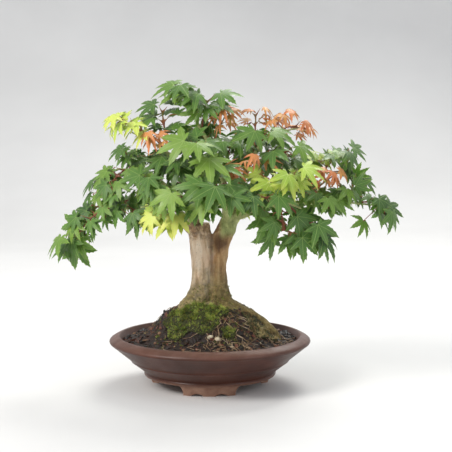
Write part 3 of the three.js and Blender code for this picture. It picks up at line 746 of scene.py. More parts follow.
def carve_bark(piece):
    """Furrows that run up the trunk, knots and hollows, and fine wrinkles."""
    rows, normals = points_of(piece), normals_of(piece)
    centres = np.array([k[0] for k in KNOTS]) * MM
    reach = np.array([k[1] for k in KNOTS]) * MM
    push = np.array([k[2] for k in KNOTS]) * MM
    for i, row in enumerate(rows):
        x, y, z = row
        old = clamp(1 - (math.hypot(x, y) - OLD_REACH) / 0.03) * clamp((TRUNK_TOP + 0.012 - z) / 0.02)
        furrow = noise.fractal(Vector((x * 95, y * 95, z * 26)), 0.8, 2.1, 3)
        wrinkle = noise.fractal(Vector((x * 420, y * 420, z * 130)), 0.8, 2.0, 2)
        move = (0.25 + 0.95 * old) * 1.05 * MM * furrow + (0.12 + 0.4 * old) * MM * wrinkle
        if old > 0:
            near = np.exp(-((row - centres) ** 2).sum(1) / reach**2)
            move += float((near * push).sum())
            seam = math.exp(-(((x - 0.0015 - 0.002 * math.sin(z * 90)) / 0.0022) ** 2)) if y < 0 else 0.0
            move -= 1.5 * MM * seam * old * clamp((z - SEAM_FOOT) / 0.03)
        row += normals[i] * move
    move_points(piece, rows)


carve_bark(wood)
print("wood", len(wood.data.polygons), "faces")

# %% [markdown]
# ## Bark
#
# The left stem is pale tan and smooth, lightened towards cream by a painted highlight on its left side, which faces the
# key lamp, and the right one is browner. Painted shade darkens the seam between them and the hollow between the cut
# stem and the leader. Towards the ground the bark turns dull green with algae and moss, and the young limbs are olive
# grey with thin, smooth bark. Height, the side of the trunk and the distance from it steer these colours, and stretched
# noise breaks up every border.

# %% The bark finish
HOLLOW_SHADE_CENTRE = (0.011, 0, 0.171)  # centre of the painted shade in the hollow between the cut stem and the leader


def bark_finish():
    f = Finish("maple_bark")
    across, up = f.axis("X"), f.axis("Z")
    streaks = f.noise(1.0, detail=5, roughness=0.62, place=f.stretched((210, 210, 34)))
    blotches = f.noise(62, detail=5, roughness=0.6)
    # painted highlight: the left stem's pale tan is lightened towards cream on its left side, which faces the key lamp;
    # side chooses it
    pale_with_highlight = f.ramp(streaks, (0.24, seen(146, 114, 84)), (0.42, seen(224, 192, 160)), (0.7, seen(252, 234, 212)))
    brown = f.ramp(streaks, (0.26, seen(112, 76, 46)), (0.48, seen(184, 142, 96)), (0.72, seen(222, 188, 142)))
    wobble = f.times(f.less(blotches, 0.5), 0.02)
    side = f.between(f.plus(across, wobble), -0.002, 0.006)
    old = f.mix(side, pale_with_highlight, brown)
    # painted shade: a dark band along the carved groove of the seam between the two stems
    seam = f.maths("ABSOLUTE", f.plus(f.less(across, 0.0018), f.times(wobble, 0.25)))
    seam = f.times(f.less(1.0, f.between(seam, 0.0004, 0.0034)), f.between(up, 0.112, 0.14))
    old = f.mix(f.times(seam, 0.55), old, seen(96, 60, 36))
    climb = f.plus(up, f.times(f.less(blotches, 0.5), 0.06))
    torn = f.ramp(f.noise(190, detail=5, roughness=0.65), (0.3, seen(70, 44, 24)), (0.5, seen(132, 96, 58)),
                  (0.62, seen(206, 178, 138)))
    old = f.mix(f.times(f.between(climb, 0.170, 0.184), 0.8), old, torn)
    facing = f.stretched((1, 0, 1))
    # painted shade: the hollow between the cut stem and the leader is darkened round this centre
    hollow_shade = f.node("VectorMath", {0: facing, 1: HOLLOW_SHADE_CENTRE}, operation="DISTANCE").outputs["Value"]
    hollow_shade = f.less(1.0, f.between(f.plus(hollow_shade, wobble), 0.003, 0.0135))
    old = f.mix(f.times(hollow_shade, 0.8), old, seen(74, 44, 25))
    algae = f.ramp(f.noise(240, detail=5), (0.3, seen(62, 54, 24)), (0.55, seen(112, 100, 50)),
                   (0.75, seen(166, 146, 100)))
    old = f.mix(f.times(f.less(1.0, f.between(climb, 0.106, 0.156)), 0.9), old, algae)
    young = f.ramp(f.noise(1.0, detail=4, place=f.stretched((160, 160, 90))), (0.3, seen(130, 138, 84)),
                   (0.55, seen(172, 180, 116)), (0.75, seen(202, 206, 154)))
    away = f.node("VectorMath", {0: f.stretched((1, 1, 0))}, operation="LENGTH").outputs["Value"]
    leader = f.times(f.between(up, 0.172, 0.184), f.between(across, 0.009, 0.016))
    limb = f.maths("MAXIMUM", f.between(away, 0.034, 0.046), f.between(up, 0.194, 0.204))
    limb = f.times(limb, f.between(up, 0.125, 0.15))
    tint = f.mix(f.maths("MAXIMUM", leader, limb), old, young)
    grain = f.noise(520, detail=4, roughness=0.7)
    flecks = f.ramp(grain, (0.3, 0.5), (0.42, 0.0), (0.62, 0.0), (0.74, 0.4))
    tint = f.mix(flecks, tint, f.ramp(grain, (0.4, seen(56, 40, 24)), (0.6, seen(206, 190, 158))))
    bump = f.bump(streaks, 0.0022, 0.7)
    bump = f.bump(f.noise(620, detail=4), 0.0006, 0.6, under=bump)
    return f.done(Base_Color=tint, Roughness=f.ramp(blotches, (0.3, 0.62), (0.7, 0.85)), Normal=bump)


finish_piece(wood, bark_finish(), "bark", "trunk_and_limbs", angle=80)

# %% [markdown]
# ## Fine surface roots
#
# Thin pale roots spill down the mound and lie on the soil. Each one is a curve that starts near the trunk,
# wanders outwards, and is pressed to the ground point by point. A curve with a round bevel is the natural tool, and it
# becomes a mesh at the end.

# %% Lay the rootlets
ROOTLETS = 84


def rootlet_path(angle, start, length, wander):
    """Points on the ground, from near the trunk outwards."""
    points, away, turn = [], start, angle
    step = 3.2 * MM
    for i in range(int(length / step)):
        spot = ground_at(away * math.cos(turn), away * math.sin(turn))
        if spot is None or away > WALL_RADIUS - 3 * MM:
            break
        lift = (0.7 + 1.1 * abs(math.sin(i * 0.9 + angle * 7))) * MM
        points.append(spot[0] + spot[1] * lift)
        away += step * rng.uniform(0.55, 1.0)
        turn += rng.uniform(-wander, wander) * step / away
    return points


def add_rootlet(points, thickness):
    """A tapering tube along the points."""
    curve = bpy.data.curves.new("rootlet", "CURVE")
    curve.dimensions, curve.bevel_depth, curve.bevel_resolution, curve.use_fill_caps = "3D", thickness, 1, True
    spline = curve.splines.new("POLY")
    spline.points.add(len(points) - 1)
    for i, point in enumerate(points):
        spline.points[i].co = (*point, 1)
        spline.points[i].radius = 1.0 - 0.65 * i / len(points)
    return link(bpy.data.objects.new("rootlet", curve))


rootlets = []
while len(rootlets) < ROOTLETS:
    right_front = rng.random() < 0.62
    angle = rng.uniform(-1.75, 0.1) if right_front else rng.uniform(0, 2 * math.pi)
    path = rootlet_path(angle, rng.uniform(38, 84) * MM, rng.uniform(14, 46) * MM, rng.choice((0.9, 1.8, 3.0)))
    if len(path) > 3:
        rootlets.append(add_rootlet(path, rng.triangular(0.22, 0.95, 0.35) * MM))
roots = join_all(rootlets, "surface_rootlets")
pick_only(roots)
bpy.ops.object.convert(target="MESH")
roots = tidy_mesh(bpy.context.active_object, merge=0.0001 * MM)


def rootlet_finish():
    f = Finish("pale_rootlets")
    tint = f.ramp(f.noise(110, detail=5), (0.32, seen(96, 70, 48)), (0.52, seen(160, 132, 100)),
                  (0.72, seen(214, 194, 164)))
    return f.done(Base_Color=tint, Roughness=0.7, Normal=f.bump(f.noise(900), 0.0002, 0.6))


finish_piece(roots, rootlet_finish(), "bark", angle=60)

# %% [markdown]
# ## Moss
#
# The moss lies on the mound in low cushions of upright tufts, bright green at the front left, olive and dry on the
# right shoulder. A cushion alone would look like felt, so each tuft is a real cluster of six to eleven pointed leaves,
# modelled once from cones and copied all over the cushions and, more thinly, up the foot of the trunk.

# %% One tuft of moss


def blade(height, lean, turn, radius=0.36):
    """A three-sided spike that leans outwards."""
    bpy.ops.mesh.primitive_cone_add(vertices=3, radius1=radius, radius2=0, depth=height, location=(0, 0, height / 2))
    spike = name_new("spike")
    settle(spike)
    spike.rotation_euler = (lean, 0, turn)
    return settle(spike)


def tuft_shape(name, count, spread, seed):
    """Spikes set in a spiral, more upright in the middle."""
    chance = random.Random(seed)
    spikes = []
    for i in range(count):
        lean = spread * math.sqrt((i + 0.5) / count)
        spikes.append(blade(chance.uniform(3.2, 7.0), lean * chance.uniform(0.6, 1.25), i * 2.4))
    return join_all(spikes, name)


tufts = Heap([tuft_shape("full_tuft", 11, 1.05, 1), tuft_shape("upright_tuft", 8, 0.6, 2)])
dry_tufts = Heap([tuft_shape("dry_tuft", 8, 1.2, 3), tuft_shape("thin_tuft", 6, 0.9, 4)])
print("tufts of", len(tufts.shapes[0][1]), "and", len(tufts.shapes[1][1]), "faces")

# %% Cushions, and tufts all over them
TUFTS_PER_CUSHION = {"front": 900, "tuft": 80, "back": 520, "shoulder": 330}
FRINGE = 7 * MM  # how far single tufts stray beyond a cushion


def cushion(place):
    """The moss's solid, remeshed and softened."""
    pad = copy_of_node("moss_" + place, "moss_pad_" + place)
    apply_modifier(pad, "REMESH", mode="VOXEL", voxel_size=1.0 * MM)
    apply_modifier(pad, "SMOOTH", factor=0.6, iterations=6)
    roughen(pad, 1.5 * MM, 160)
    return pad


def spot_near(place):
    """A random place on the top of a cushion, or now and then on the soil beside it, and the size of a tuft there."""
    low, high = (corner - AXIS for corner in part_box("moss_" + place))
    while True:
        x, y = rng.uniform(low.x - FRINGE, high.x + FRINGE), rng.uniform(low.y - FRINGE, high.y + FRINGE)
        found = ground_at(x, y, moss_trees[place])
        if found and found[1].z > 0.2:
            return (*found, rng.uniform(0.55, 1.05))
        if rng.random() < 0.16 and not under_cover(x, y):
            return (*ground_at(x, y), rng.uniform(0.35, 0.75))


def patchy(spot):
    """A tone that changes slowly from place to place, with some chance in it."""
    return clamp(0.5 + 1.1 * noise.noise(spot * 95) + rng.uniform(-0.3, 0.3))


def plant(heap, place, count, size):
    """Tufts at random places on and around one cushion."""
    for _ in range(count):
        spot, lie, share = spot_near(place)
        up = (lie * 0.6 + Vector((0, 0, 0.6))).normalized()
        lump = 0.75 + 0.6 * noise.noise(spot * 210)
        heap.add(rng.randrange(2), laid_on(spot - lie * 0.6 * MM, up, size * share * lump, tilt=0.45), patchy(spot))


for place, count in TUFTS_PER_CUSHION.items():
    dry = place == "shoulder"
    plant(dry_tufts if dry else tufts, place, count, 0.9 * MM if dry else MM)

# %% Stray tufts on the mound and at the trunk's foot
FOOT_TUFTS, MOUND_TUFTS = 260, 330


def trunk_spot(height, angle):
    """A place on the wood's skin, found by a level line towards the trunk's axis."""
    outside = Vector((0.09 * math.cos(angle), 0.09 * math.sin(angle), height))
    spot, lie, _, _ = wood_tree.ray_cast(outside, (Vector((0, 0, height)) - outside).normalized())
    return (spot, lie) if spot is not None and spot.z > ground_at(spot.x * 1.1, spot.y * 1.1)[0].z - 2 * MM else None


for i in range(FOOT_TUFTS):
    height = rng.triangular(0.085, 0.122, 0.092)
    found = trunk_spot(height, rng.uniform(-2.9, -0.5) if i % 3 else rng.uniform(0, 6.28))
    if found:
        heap = tufts if rng.random() < 0.7 else dry_tufts
        heap.add(rng.randrange(2), laid_on(*found, rng.uniform(0.3, 0.62) * MM, tilt=0.4), rng.random())
for i in range(MOUND_TUFTS):
    angle = rng.uniform(-1.5, 0.9) if i % 2 else rng.uniform(0, 2 * math.pi)
    away = rng.uniform(36, 78) * MM
    found = ground_at(away * math.cos(angle), away * math.sin(angle))
    if found and not under_cover(found[0].x, found[0].y):
        kind, size = rng.randrange(2), rng.uniform(0.4, 0.85) * MM
        dry_tufts.add(kind, laid_on(*found, size, tilt=0.5), rng.random())

# %% Moss finishes


def moss_finish(name, dark, middle, light):
    f = Finish(name)
    patches = f.ramp(f.attribute("tone"), (0.0, dark), (0.45, middle), (1.0, light))
    # painted shade: each tuft is darker towards its base, where the tufts shade one another
    tint = f.mix(f.ramp(f.attribute("tip"), (0.05, 0.9), (0.5, 0.15)), patches, dark)
    # painted highlight: each tuft is lighter at its tips
    tint = f.mix(f.ramp(f.attribute("tip"), (0.55, 0.0), (1.0, 0.6)), tint, light)
    return f.done(Base_Color=tint, Roughness=0.75, Subsurface_Weight=0.12, Subsurface_Scale=0.001,
                  Normal=f.bump(f.noise(1500), 0.0003, 0.5))


# painted shade: the cushions under the tufts are dark so that the gaps between tufts look shaded
def shaded_pad_finish():
    f = Finish("moss_pad_painted_shade")
    tint = f.ramp(f.noise(420, detail=5), (0.3, seen(22, 18, 8)), (0.5, seen(46, 46, 16)), (0.75, seen(78, 84, 28)))
    return f.done(Base_Color=tint, Roughness=0.85, Normal=f.bump(f.noise(900, detail=4), 0.0008, 0.7))


green_moss = moss_finish("bright_moss", seen(50, 62, 16), seen(114, 138, 40), seen(188, 200, 96))
olive_moss = moss_finish("dry_moss", seen(70, 58, 32), seen(136, 120, 70), seen(204, 188, 134))
pad_shade = shaded_pad_finish()
for place in ("front", "tuft", "back", "shoulder"):
    finish_piece(cushion(place), pad_shade, "dry_moss" if place == "shoulder" else "moss", "moss_" + place, angle=80)
finish_piece(tufts.piece("moss_tufts"), green_moss, "moss", angle=20)
finish_piece(dry_tufts.piece("dry_moss_tufts"), olive_moss, "dry_moss", angle=20)

# %% [markdown]
# ## What lies on the soil
#
# Two pale stones sit just below the moss and a pink chip lies near the rim. Their solids are rough lumps; a
# subdivided copy, slightly dented, has the soft edges of a worn stone.

# %% Stones and the chip


def stone_finish(name, dark, light):
    f = Finish(name)
    tint = f.ramp(f.noise(400, detail=5), (0.3, dark), (0.7, light))
    return f.done(Base_Color=tint, Roughness=0.75, Normal=f.bump(f.noise(1100, detail=4), 0.0004, 0.6))


cream = stone_finish("cream_stone", seen(150, 134, 108), seen(214, 202, 176))
pink = stone_finish("pink_chip_clay", seen(168, 108, 92), seen(214, 160, 142))
for node, material, slot in (("pale_pebble_1", cream, "pale_grit"), ("pale_pebble_2", cream, "pale_grit"),
                             ("pink_chip", pink, "pink_chip")):
    stone = copy_of_node(node, "worn_" + node)
    apply_modifier(stone, "SUBSURF", levels=3, render_levels=3)
    roughen(stone, 0.35 * MM, 420)
    finish_piece(stone, material, slot, node, angle=80)

# %% [markdown]
# ## One maple leaf
#
# The leaf is a star of seven pointed, toothed lobes. One lobe is shaped from a narrow grid: each row is
# resized to the lobe's width there, and the edges between rows are split and pulled out into teeth. The lobe is then
# copied round the hub every forty degrees. The upper side is copied, mirrored and merged at the edge, which
# makes a thin closed blade with raised ribs. All leaves are copies of this one, bent to the leaves of the frame.

# %% Shape one lobe
LOBE_ROWS = [(0.0, 0.0), (0.38, 0.1383), (0.54, 0.146), (0.70, 0.114), (0.86, 0.058), (1.0, 0.0)]  # along, half width
LOBE_TURN = math.radians(40)
JOINED = 0.44  # how far out the lobes are one blade
RIB = 0.011  # how high a rib stands, as a share of the leaf's length


def shape_lobe():
    """A toothed lobe that points along +Y, with its ribs raised."""
    rows = len(LOBE_ROWS)
    bpy.ops.mesh.primitive_grid_add(x_subdivisions=2, y_subdivisions=rows - 1, size=1)
    lobe = name_new("maple_lobe")
    starts = [-0.5 + i / (rows - 1) for i in range(rows)]
    for start, (along, half) in reversed(list(zip(starts, LOBE_ROWS))):
        select_where(lobe, lambda co: abs(co.y - start) < 0.01)
        bpy.ops.transform.resize(value=(2 * half, 1, 1), center_override=(0, start, 0))
        bpy.ops.transform.translate(value=(0, along - start + 2, 0))
    bpy.ops.mesh.select_all(action="SELECT")
    bpy.ops.transform.translate(value=(0, -2, 0))
    bpy.ops.mesh.remove_doubles(threshold=0.001)
    for (low, low_half), (high, high_half) in zip(LOBE_ROWS[1:-2], LOBE_ROWS[2:-1]):
        middle, width = (low + high) / 2, (low_half + high_half) / 2
        select_where(lobe, lambda co: abs(co.y - middle) < 0.02 and abs(abs(co.x) - width) < 0.02, "EDGE")
        bpy.ops.mesh.subdivide(number_cuts=1)
        select_where(lobe, lambda co: abs(co.y - middle) < 0.02 and abs(co.x) > 0.03)
        bpy.ops.transform.resize(value=(1.22, 1, 1), center_override=(0, middle, 0))
        bpy.ops.transform.translate(value=(0, 0.3 * (high - low), 0))
    select_where(lobe, lambda co: abs(co.x) < 0.001 and co.y < 0.95)
    bpy.ops.transform.translate(value=(0, 0, RIB))
    bpy.ops.object.mode_set(mode="OBJECT")
    return lobe


lobe = shape_lobe()
print("lobe", len(lobe.data.vertices), "points,", len(lobe.data.polygons), "faces")

# %% Copy the lobe round the hub and close the blade


def shape_leaf(lobe):
    """Seven lobes, merged, with the under side mirrored from the upper one."""
    others = [turned_copy(lobe, i * LOBE_TURN) for i in (-3, -2, -1, 1, 2, 3)]
    leaf = join_all([lobe, *others], "maple_leaf")
    pick_only(leaf)
    bpy.ops.object.mode_set(mode="EDIT")
    bpy.ops.mesh.select_all(action="SELECT")
    bpy.ops.mesh.remove_doubles(threshold=0.01)
    bpy.ops.mesh.duplicate()
    bpy.ops.transform.resize(value=(1, 1, -1), center_override=(0, 0, 0))
    bpy.ops.mesh.select_all(action="SELECT")
    bpy.ops.mesh.remove_doubles(threshold=0.0005)
    bpy.ops.mesh.normals_make_consistent(inside=False)
    bpy.ops.object.mode_set(mode="OBJECT")
    return leaf


leaf = shape_leaf(lobe)
LEAF_POINTS = points_of(leaf)
LEAF_FACES = [tuple(p.vertices) for p in leaf.data.polygons]
bpy.data.objects.remove(leaf)
print("leaf", len(LEAF_POINTS), "points,", len(LEAF_FACES), "faces")

# %% [markdown]
# ## Read the leaves of the frame
#
# Each shoot's solid is a twig with its stalks and flat five-pointed stars. The hub of a star is easy to
# find: a point where many edges meet, with a twin just below it. The points that both share are the star's edge, and
# the points that only one of them knows are where the stalk comes in, so the leaf's turn, its droop and the length of
# every lobe can be read. What is left when the stars are taken away is the twig and the stalks.

# %% Find the stars
HUB_GAP = 1.6 * MM  # a star's upper and lower hub are closer than this
HUB_EDGES, SHARED_EDGES = 9, 8  # edges that meet at a hub, and how many of their ends both hubs share


def neighbours_of(mesh):
    """For each point, the points that an edge joins it to."""
    around = [set() for _ in mesh.vertices]
    for edge in mesh.edges:
        a, b = edge.vertices
        around[a].add(b)
        around[b].add(a)
    return around


def find_stars(piece):
    """(upper hub, lower hub, points of the edge, points where the stalk comes in) of every leaf in a shoot."""
    around = neighbours_of(piece.data)
    places = [v.co for v in piece.data.vertices]
    busy = [i for i, near in enumerate(around) if len(near) >= HUB_EDGES]
    stars = []
    for i, a in enumerate(busy):
        for b in busy[i + 1:]:
            shared = around[a] & around[b]
            if (places[a] - places[b]).length < HUB_GAP and len(shared) >= SHARED_EDGES:
                stars.append((a, b, sorted(shared), sorted(around[a] ^ around[b])))
    return stars


shoot_nodes = sorted(n for n in frame["nodes"] if n.startswith("shoot_"))
trial = copy_of_node(shoot_nodes[0], "trial")
print(shoot_nodes[0], "has", len(find_stars(trial)), "leaves")
bpy.data.objects.remove(trial)

# %% [markdown]
# ## Bend a leaf to its star
#
# The leaf's own coordinates are a direction and a distance from the hub. Both are stretched to the tips that were
# read, and the height above the blade's plane gets the star's droop, a slight fold along every rib, and some
# waviness, so that no two leaves catch the light alike.

# %% The bending
TEMPLATE_TURNS = np.radians([-140, -120, -80, -40, 0, 40, 80, 120, 140])
STAR_TURNS = np.radians([-84, -39, 0, 39, 84])  # of a star's five tips, with their shares of the longest
STAR_SHARES = np.array([0.7, 0.94, 1, 0.94, 0.7])
LOBE_SLACK = math.radians(17)  # how far a tip may be from its turn
BACK_TURN = math.radians(38)  # from a star's outer tip to the small lobe behind it


def leaf_facts(places, star):
    """The star's hub, its two main directions, and its tips' turns, lengths and droop."""
    a, b, edge, stalk = star
    middle = (places[a] + places[b]) / 2
    axis = (places[a] - places[b]).normalized()
    if sum((places[i] - middle).dot(axis) for i in edge) > 0:
        axis = -axis
    forward = middle - sum((places[i] for i in stalk), Vector()) / len(stalk)
    forward = (forward - axis * forward.dot(axis)).normalized()
    side = axis.cross(forward)
    across = np.array([(places[i] - middle).dot(side) for i in edge])
    along = np.array([(places[i] - middle).dot(forward) for i in edge])
    low = np.array([-(places[i] - middle).dot(axis) for i in edge])
    turn, reach = np.arctan2(across, along), np.hypot(across, along)
    turns, lengths, droops = STAR_TURNS.copy(), STAR_SHARES * reach.max(), np.full(5, np.mean(low / reach**2))
    for k, lobe_turn in enumerate(STAR_TURNS):
        off = np.abs(turn - lobe_turn) + np.where(reach < 0.5 * reach.max(), 9.0, 0.0)
        i = int(off.argmin())
        if off[i] < LOBE_SLACK:
            turns[k], lengths[k], droops[k] = turn[i], reach[i], low[i] / reach[i] ** 2
    return middle, axis, forward, turns, lengths, droops


def inner_facts(facts, chance):
    """A smaller leaf behind the one that was read, for the inside of the crown."""
    middle, axis, forward, turns, lengths, droops = facts
    side = axis.cross(forward)
    shift = -axis * chance.uniform(5, 15) + side * chance.uniform(-15, 15) + forward * chance.uniform(-15, 5)
    lean = Vector([chance.uniform(-0.4, 0.4) for _ in range(3)])
    new_axis = (axis + lean).normalized()
    swung = Matrix.Rotation(chance.uniform(-0.9, 0.9), 3, new_axis) @ forward
    new_forward = (swung - new_axis * swung.dot(new_axis)).normalized()
    return middle + shift * MM, new_axis, new_forward, turns, lengths * chance.uniform(0.68, 0.92), droops


def bent_leaf(facts, chance, narrow, fold):
    """The template's points, bent to a star."""
    middle, axis, forward, turns, lengths, droops = facts
    side = axis.cross(forward)
    x, y, z = LEAF_POINTS.T
    away, turn = np.hypot(x, y), np.arctan2(x, y)
    lobe_axis = np.clip(np.round(turn / LOBE_TURN), -3, 3) * LOBE_TURN
    off = (turn - lobe_axis) * np.where(away > JOINED, narrow, 1.0)
    wide = away * np.abs(np.sin(turn - lobe_axis))
    left, right = turns[0] - BACK_TURN, turns[-1] + BACK_TURN
    real_turns = [left - 0.3, left, *turns, right, right + 0.3]
    scale = [0.42 * lengths[0], 0.48 * lengths[0], *lengths, 0.48 * lengths[-1], 0.42 * lengths[-1]]
    bend = [droops[0], droops[0], *droops, droops[-1], droops[-1]]
    real_turn = np.interp(lobe_axis + off, TEMPLATE_TURNS, real_turns)
    length = np.interp(turn, TEMPLATE_TURNS, scale)
    reach = away * length
    low = np.interp(turn, TEMPLATE_TURNS, bend) * reach**2
    longest = max(lengths)
    phase = chance.uniform(0, 6.28)
    wave = 0.035 * longest * away * np.sin(3 * turn + phase) + 0.02 * longest * away**2 * np.sin(9 * turn + phase * 2)
    curl = chance.uniform(-0.03, 0.1) * longest * away**4
    height = z * longest - low + fold * wide * length + wave - curl
    rows = np.outer(reach * np.cos(real_turn), forward) + np.outer(reach * np.sin(real_turn), side)
    return rows + np.outer(height, axis) + np.array(middle)


print("bending ready")

# %% [markdown]
# ## Leaf and stalk finishes
#
# A mature leaf is satin green above and paler below, with light ribs and fine side veins. Young leaves are yellow
# green, and the youngest are orange red with green along the ribs. The vein pattern follows the leaf, so it reads the
# leaf's own map: direction and distance from the hub, repeated every forty degrees. A tone for each leaf shifts its
# colour between the young and the old.

# %% The leaf finishes


def vein_pattern(f):
    """1 on a rib and less on its side veins, from the leaf's own map."""
    flat = f.node("UVMap", uv_map="leaf_map").outputs["UV"]
    parts = f.node("SeparateXYZ", {"Vector": flat})
    x = f.less(f.times(parts.outputs["X"], 2.0), 1.0)
    y = f.less(f.times(parts.outputs["Y"], 2.0), 1.0)
    turn = f.maths("ARCTAN2", x, y)
    lobe = f.maths("ROUND", f.maths("DIVIDE", turn, LOBE_TURN))
    off = f.less(turn, f.times(lobe, LOBE_TURN))
    away = f.maths("SQRT", f.plus(f.times(x, x), f.times(y, y)))
    beside = f.maths("ABSOLUTE", f.times(away, f.maths("SINE", off)))
    along = f.times(away, f.maths("COSINE", off))
    rib = f.less(1.0, f.between(beside, 0.004, 0.016))
    slant = f.maths("FRACT", f.times(f.less(along, f.times(beside, 1.3)), 13.0))
    thin = f.less(1.0, f.between(f.maths("ABSOLUTE", f.less(slant, 0.5)), 0.03, 0.14))
    return f.maths("MAXIMUM", rib, f.times(thin, 0.35)), away


def leaf_finish(name, old, middle, young, edge, rib_colour, edge_share):
    f = Finish(name, Subsurface_Weight=0.22, Subsurface_Scale=0.0016, Specular_IOR_Level=0.45)
    f.shader.inputs["Subsurface Radius"].default_value = (0.6, 1.0, 0.25)
    veins, away = vein_pattern(f)
    tone = f.plus(f.attribute("tone"), f.times(f.less(f.noise(90, detail=3), 0.5), 0.35))
    tint = f.ramp(tone, (0.05, old), (0.5, middle), (0.95, young))
    rim = f.times(f.between(f.plus(away, f.times(f.noise(60), 0.25)), 0.55, 1.15), edge_share)
    tint = f.mix(rim, tint, edge)
    tint = f.mix(f.times(veins, 0.55), tint, rib_colour)
    bump = f.bump(f.less(1.0, veins), 0.0003, 0.5)
    bump = f.bump(f.noise(700, detail=3), 0.00015, 0.4, under=bump)
    return f.done(Base_Color=tint, Roughness=f.ramp(f.noise(160), (0.3, 0.36), (0.7, 0.52)), Normal=bump)


def stalk_finish():
    f = Finish("leaf_stalks", Specular_IOR_Level=0.4)
    tint = f.ramp(f.noise(55, detail=3), (0.32, seen(110, 58, 44)), (0.5, seen(142, 84, 56)),
                  (0.68, seen(122, 128, 66)))
    return f.done(Base_Color=tint, Roughness=0.5, Normal=f.bump(f.noise(800), 0.0001, 0.4))


LEAF_LOOKS = {  # tone of the shoot: its finish, the narrowing of the lobes and the fold along their ribs
    "green": (leaf_finish("mature_leaf", seen(44, 78, 28), seen(76, 114, 40), seen(124, 152, 54),
                          seen(104, 128, 44), seen(140, 166, 84), 0.25), 0.92, 0.22),
    "lime": (leaf_finish("young_lime_leaf", seen(132, 166, 50), seen(172, 196, 72), seen(206, 212, 104),
                         seen(202, 186, 92), seen(206, 218, 130), 0.35), 0.88, 0.3),
    "red": (leaf_finish("young_red_leaf", seen(198, 112, 66), seen(204, 138, 78), seen(168, 152, 72),
                        seen(196, 84, 58), seen(206, 168, 104), 0.62), 0.78, 0.45),
}
stalks = stalk_finish()
slot_of = {part["node"]: part["material_slot"] for part in frame["record"]["subparts"]}
print("leaf finishes", list(LEAF_LOOKS))

# %% [markdown]
# ## Grow the shoots
#
# For each shoot, a merged copy of its solid is searched for stars. The stars are deleted, the open stalk ends are
# closed and the rest is subdivided, which rounds the three-sided stalks and the twig. A bent leaf is then set on
# every star, with the leaf's flat shape as its map. Behind each one a smaller leaf on a stalk of its own fills the
# inside of the crown. The leaves, the stalks and the twig are joined into one piece.

# %% Twig from a shoot's solid
INNER_LEAVES = 1  # smaller leaves behind each leaf that was read


def bare_twig(piece, stars, facts):
    """Deletes the stars, closes the stalks and rounds them."""
    around, places = neighbours_of(piece.data), [v.co for v in piece.data.vertices]
    gone = set()
    for (a, b, edge, _), (middle, _, forward, *_) in zip(stars, facts):
        blade_points = {a, b, *edge}
        beside = set().union(*(around[i] for i in blade_points))
        gone |= blade_points | {i for i in beside if (places[i] - middle).dot(forward) > MM}
    bpy.ops.object.mode_set(mode="EDIT")
    bpy.ops.mesh.select_mode(type="VERT")
    bpy.ops.mesh.select_all(action="DESELECT")
    bpy.ops.object.mode_set(mode="OBJECT")
    for i in gone:
        piece.data.vertices[i].select = True
    bpy.ops.object.mode_set(mode="EDIT")
    bpy.ops.mesh.delete(type="VERT")
    bpy.ops.mesh.select_all(action="SELECT")
    bpy.ops.mesh.fill_holes(sides=0)
    bpy.ops.object.mode_set(mode="OBJECT")
    return apply_modifier(piece, "SUBSURF", levels=1, render_levels=1)


def stalk_shape():
    """A thin rod from the origin up, one unit long, a little thicker at its foot."""
    bpy.ops.mesh.primitive_cone_add(vertices=5, radius1=0.6, radius2=0.42, depth=1, location=(0, 0, 0.5))
    return settle(name_new("leaf_stalk"))


def stalk_matrix(start, end):
    """Turns the rod so that it runs from start to end. Its thickness is in millimetres."""
    run = end - start
    turn = run.to_track_quat("Z", "Y").to_matrix().to_4x4()
    return Matrix.Translation(start) @ turn @ Matrix.Diagonal((MM, MM, run.length, 1))


def blades_mesh(name, leaves, tones):
    """All the leaves of one shoot in one mesh, with the leaf map and the tones."""
    count = len(LEAF_POINTS)
    faces = [tuple(i + n * count for i in face) for n in range(len(leaves)) for face in LEAF_FACES]
    blades = new_mesh_piece(name, np.concatenate(leaves), faces)
    flat = np.tile(LEAF_POINTS[:, :2] / 2 + 0.5, (len(leaves), 1))
    corners = np.empty(len(blades.data.loops), np.int32)
    blades.data.loops.foreach_get("vertex_index", corners)
    blades.data.uv_layers.new(name="leaf_map").data.foreach_set("uv", flat[corners].astype(np.float32).ravel())
    tone_rows = np.repeat(np.array(tones, np.float32), count)
    blades.data.attributes.new("tone", "FLOAT", "POINT").data.foreach_set("value", tone_rows)
    return blades


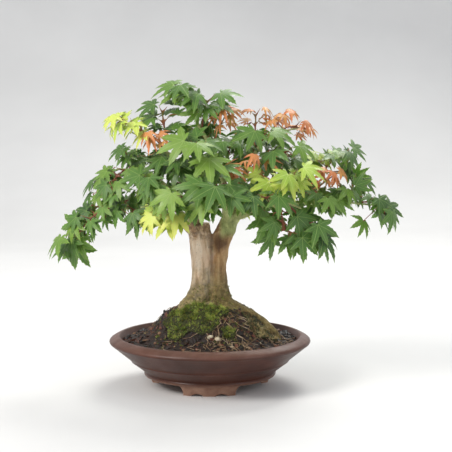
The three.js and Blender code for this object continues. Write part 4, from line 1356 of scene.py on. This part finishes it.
def grow_shoot(node):
    """One finished shoot. Returns how many leaves were read and how many inner ones were added."""
    look, narrow, fold = LEAF_LOOKS[slot_of[node].removeprefix("leaf_")]
    chance = random.Random(node)
    twig = copy_of_node(node, "leafy_" + node)
    stars = find_stars(twig)
    places = [v.co.copy() for v in twig.data.vertices]
    facts = [leaf_facts(places, star) for star in stars]
    pick_only(twig)
    bare_twig(twig, stars, facts)
    inner = [inner_facts(fact, chance) for fact in facts for _ in range(INNER_LEAVES)]
    rods = Heap([stalk_shape()])
    twig_points = points_of(twig)
    for middle, _, forward, _, lengths, _ in inner:
        nearest = twig_points[((twig_points - np.array(middle)) ** 2).sum(1).argmin()]
        rods.add(0, stalk_matrix(Vector(nearest), middle + forward * 0.05 * float(lengths[2])), 0.5)
    leaves = [bent_leaf(fact, chance, narrow, fold * chance.uniform(0.6, 1.4)) for fact in facts + inner]
    shoot_tone = chance.uniform(0.25, 0.6)
    tones = [clamp(shoot_tone + chance.uniform(-0.3, 0.3)) for _ in leaves]
    wooden = join_all([twig, rods.piece("rods")], "leafy_" + node)
    wooden.data.materials.append(look)
    wooden.data.materials.append(stalks)
    wooden.data.polygons.foreach_set("material_index", [1] * len(wooden.data.polygons))
    blades = blades_mesh("blades", leaves, tones)
    blades.data.materials.append(look)
    shoot = join_all([wooden, blades], "leafy_" + node)
    finish_piece(shoot, None, slot_of[node], node, angle=50)
    return np.array([len(facts), len(inner)])


read_count, inner_count = sum(grow_shoot(node) for node in shoot_nodes)
print(read_count, "leaves and", inner_count, "inner ones on", len(shoot_nodes), "shoots")

# %% [markdown]
# ## The floor
#
# A plain pale floor runs back and curves up into a wall, so that no horizon cuts the picture. It is stage, not
# part of the object: one edge of a plane is extruded up in short steps along a quarter circle.

# %% Floor with a curved back
FLOOR_HALF, BACK_AT, CURVE, CURVE_STEPS = 4.0, 1.4, 1.6, 24


def add_floor():
    """A plane whose back edge is pulled up along a quarter circle and on into a wall."""
    bpy.ops.mesh.primitive_plane_add(size=1, location=(0, (BACK_AT - FLOOR_HALF) / 2, 0))
    floor = name_new("studio_floor")
    floor.scale = (2 * FLOOR_HALF, BACK_AT + FLOOR_HALF, 1)
    settle(floor)
    select_where(floor, lambda co: co.y > BACK_AT - 0.01)
    turns = [i / CURVE_STEPS * math.pi / 2 for i in range(CURVE_STEPS + 1)]
    for before, after in zip(turns, turns[1:]):
        back, up = math.sin(after) - math.sin(before), math.cos(before) - math.cos(after)
        bpy.ops.mesh.extrude_region_move(TRANSFORM_OT_translate={"value": (0, CURVE * back, CURVE * up)})
    bpy.ops.mesh.extrude_region_move(TRANSFORM_OT_translate={"value": (0, 0, 3)})
    bpy.ops.mesh.select_all(action="SELECT")
    bpy.ops.mesh.normals_make_consistent(inside=False)
    bpy.ops.object.mode_set(mode="OBJECT")
    pick_only(floor)
    bpy.ops.object.shade_smooth()
    f = Finish("pale_floor")
    tint = f.ramp(f.noise(3, detail=3), (0.3, seen(216, 215, 214)), (0.7, seen(223, 222, 221)))
    floor.data.materials.append(f.done(Base_Color=tint, Roughness=0.6))
    return floor


floor = add_floor()
print("floor from", points_of(floor).min(0), "to", points_of(floor).max(0))
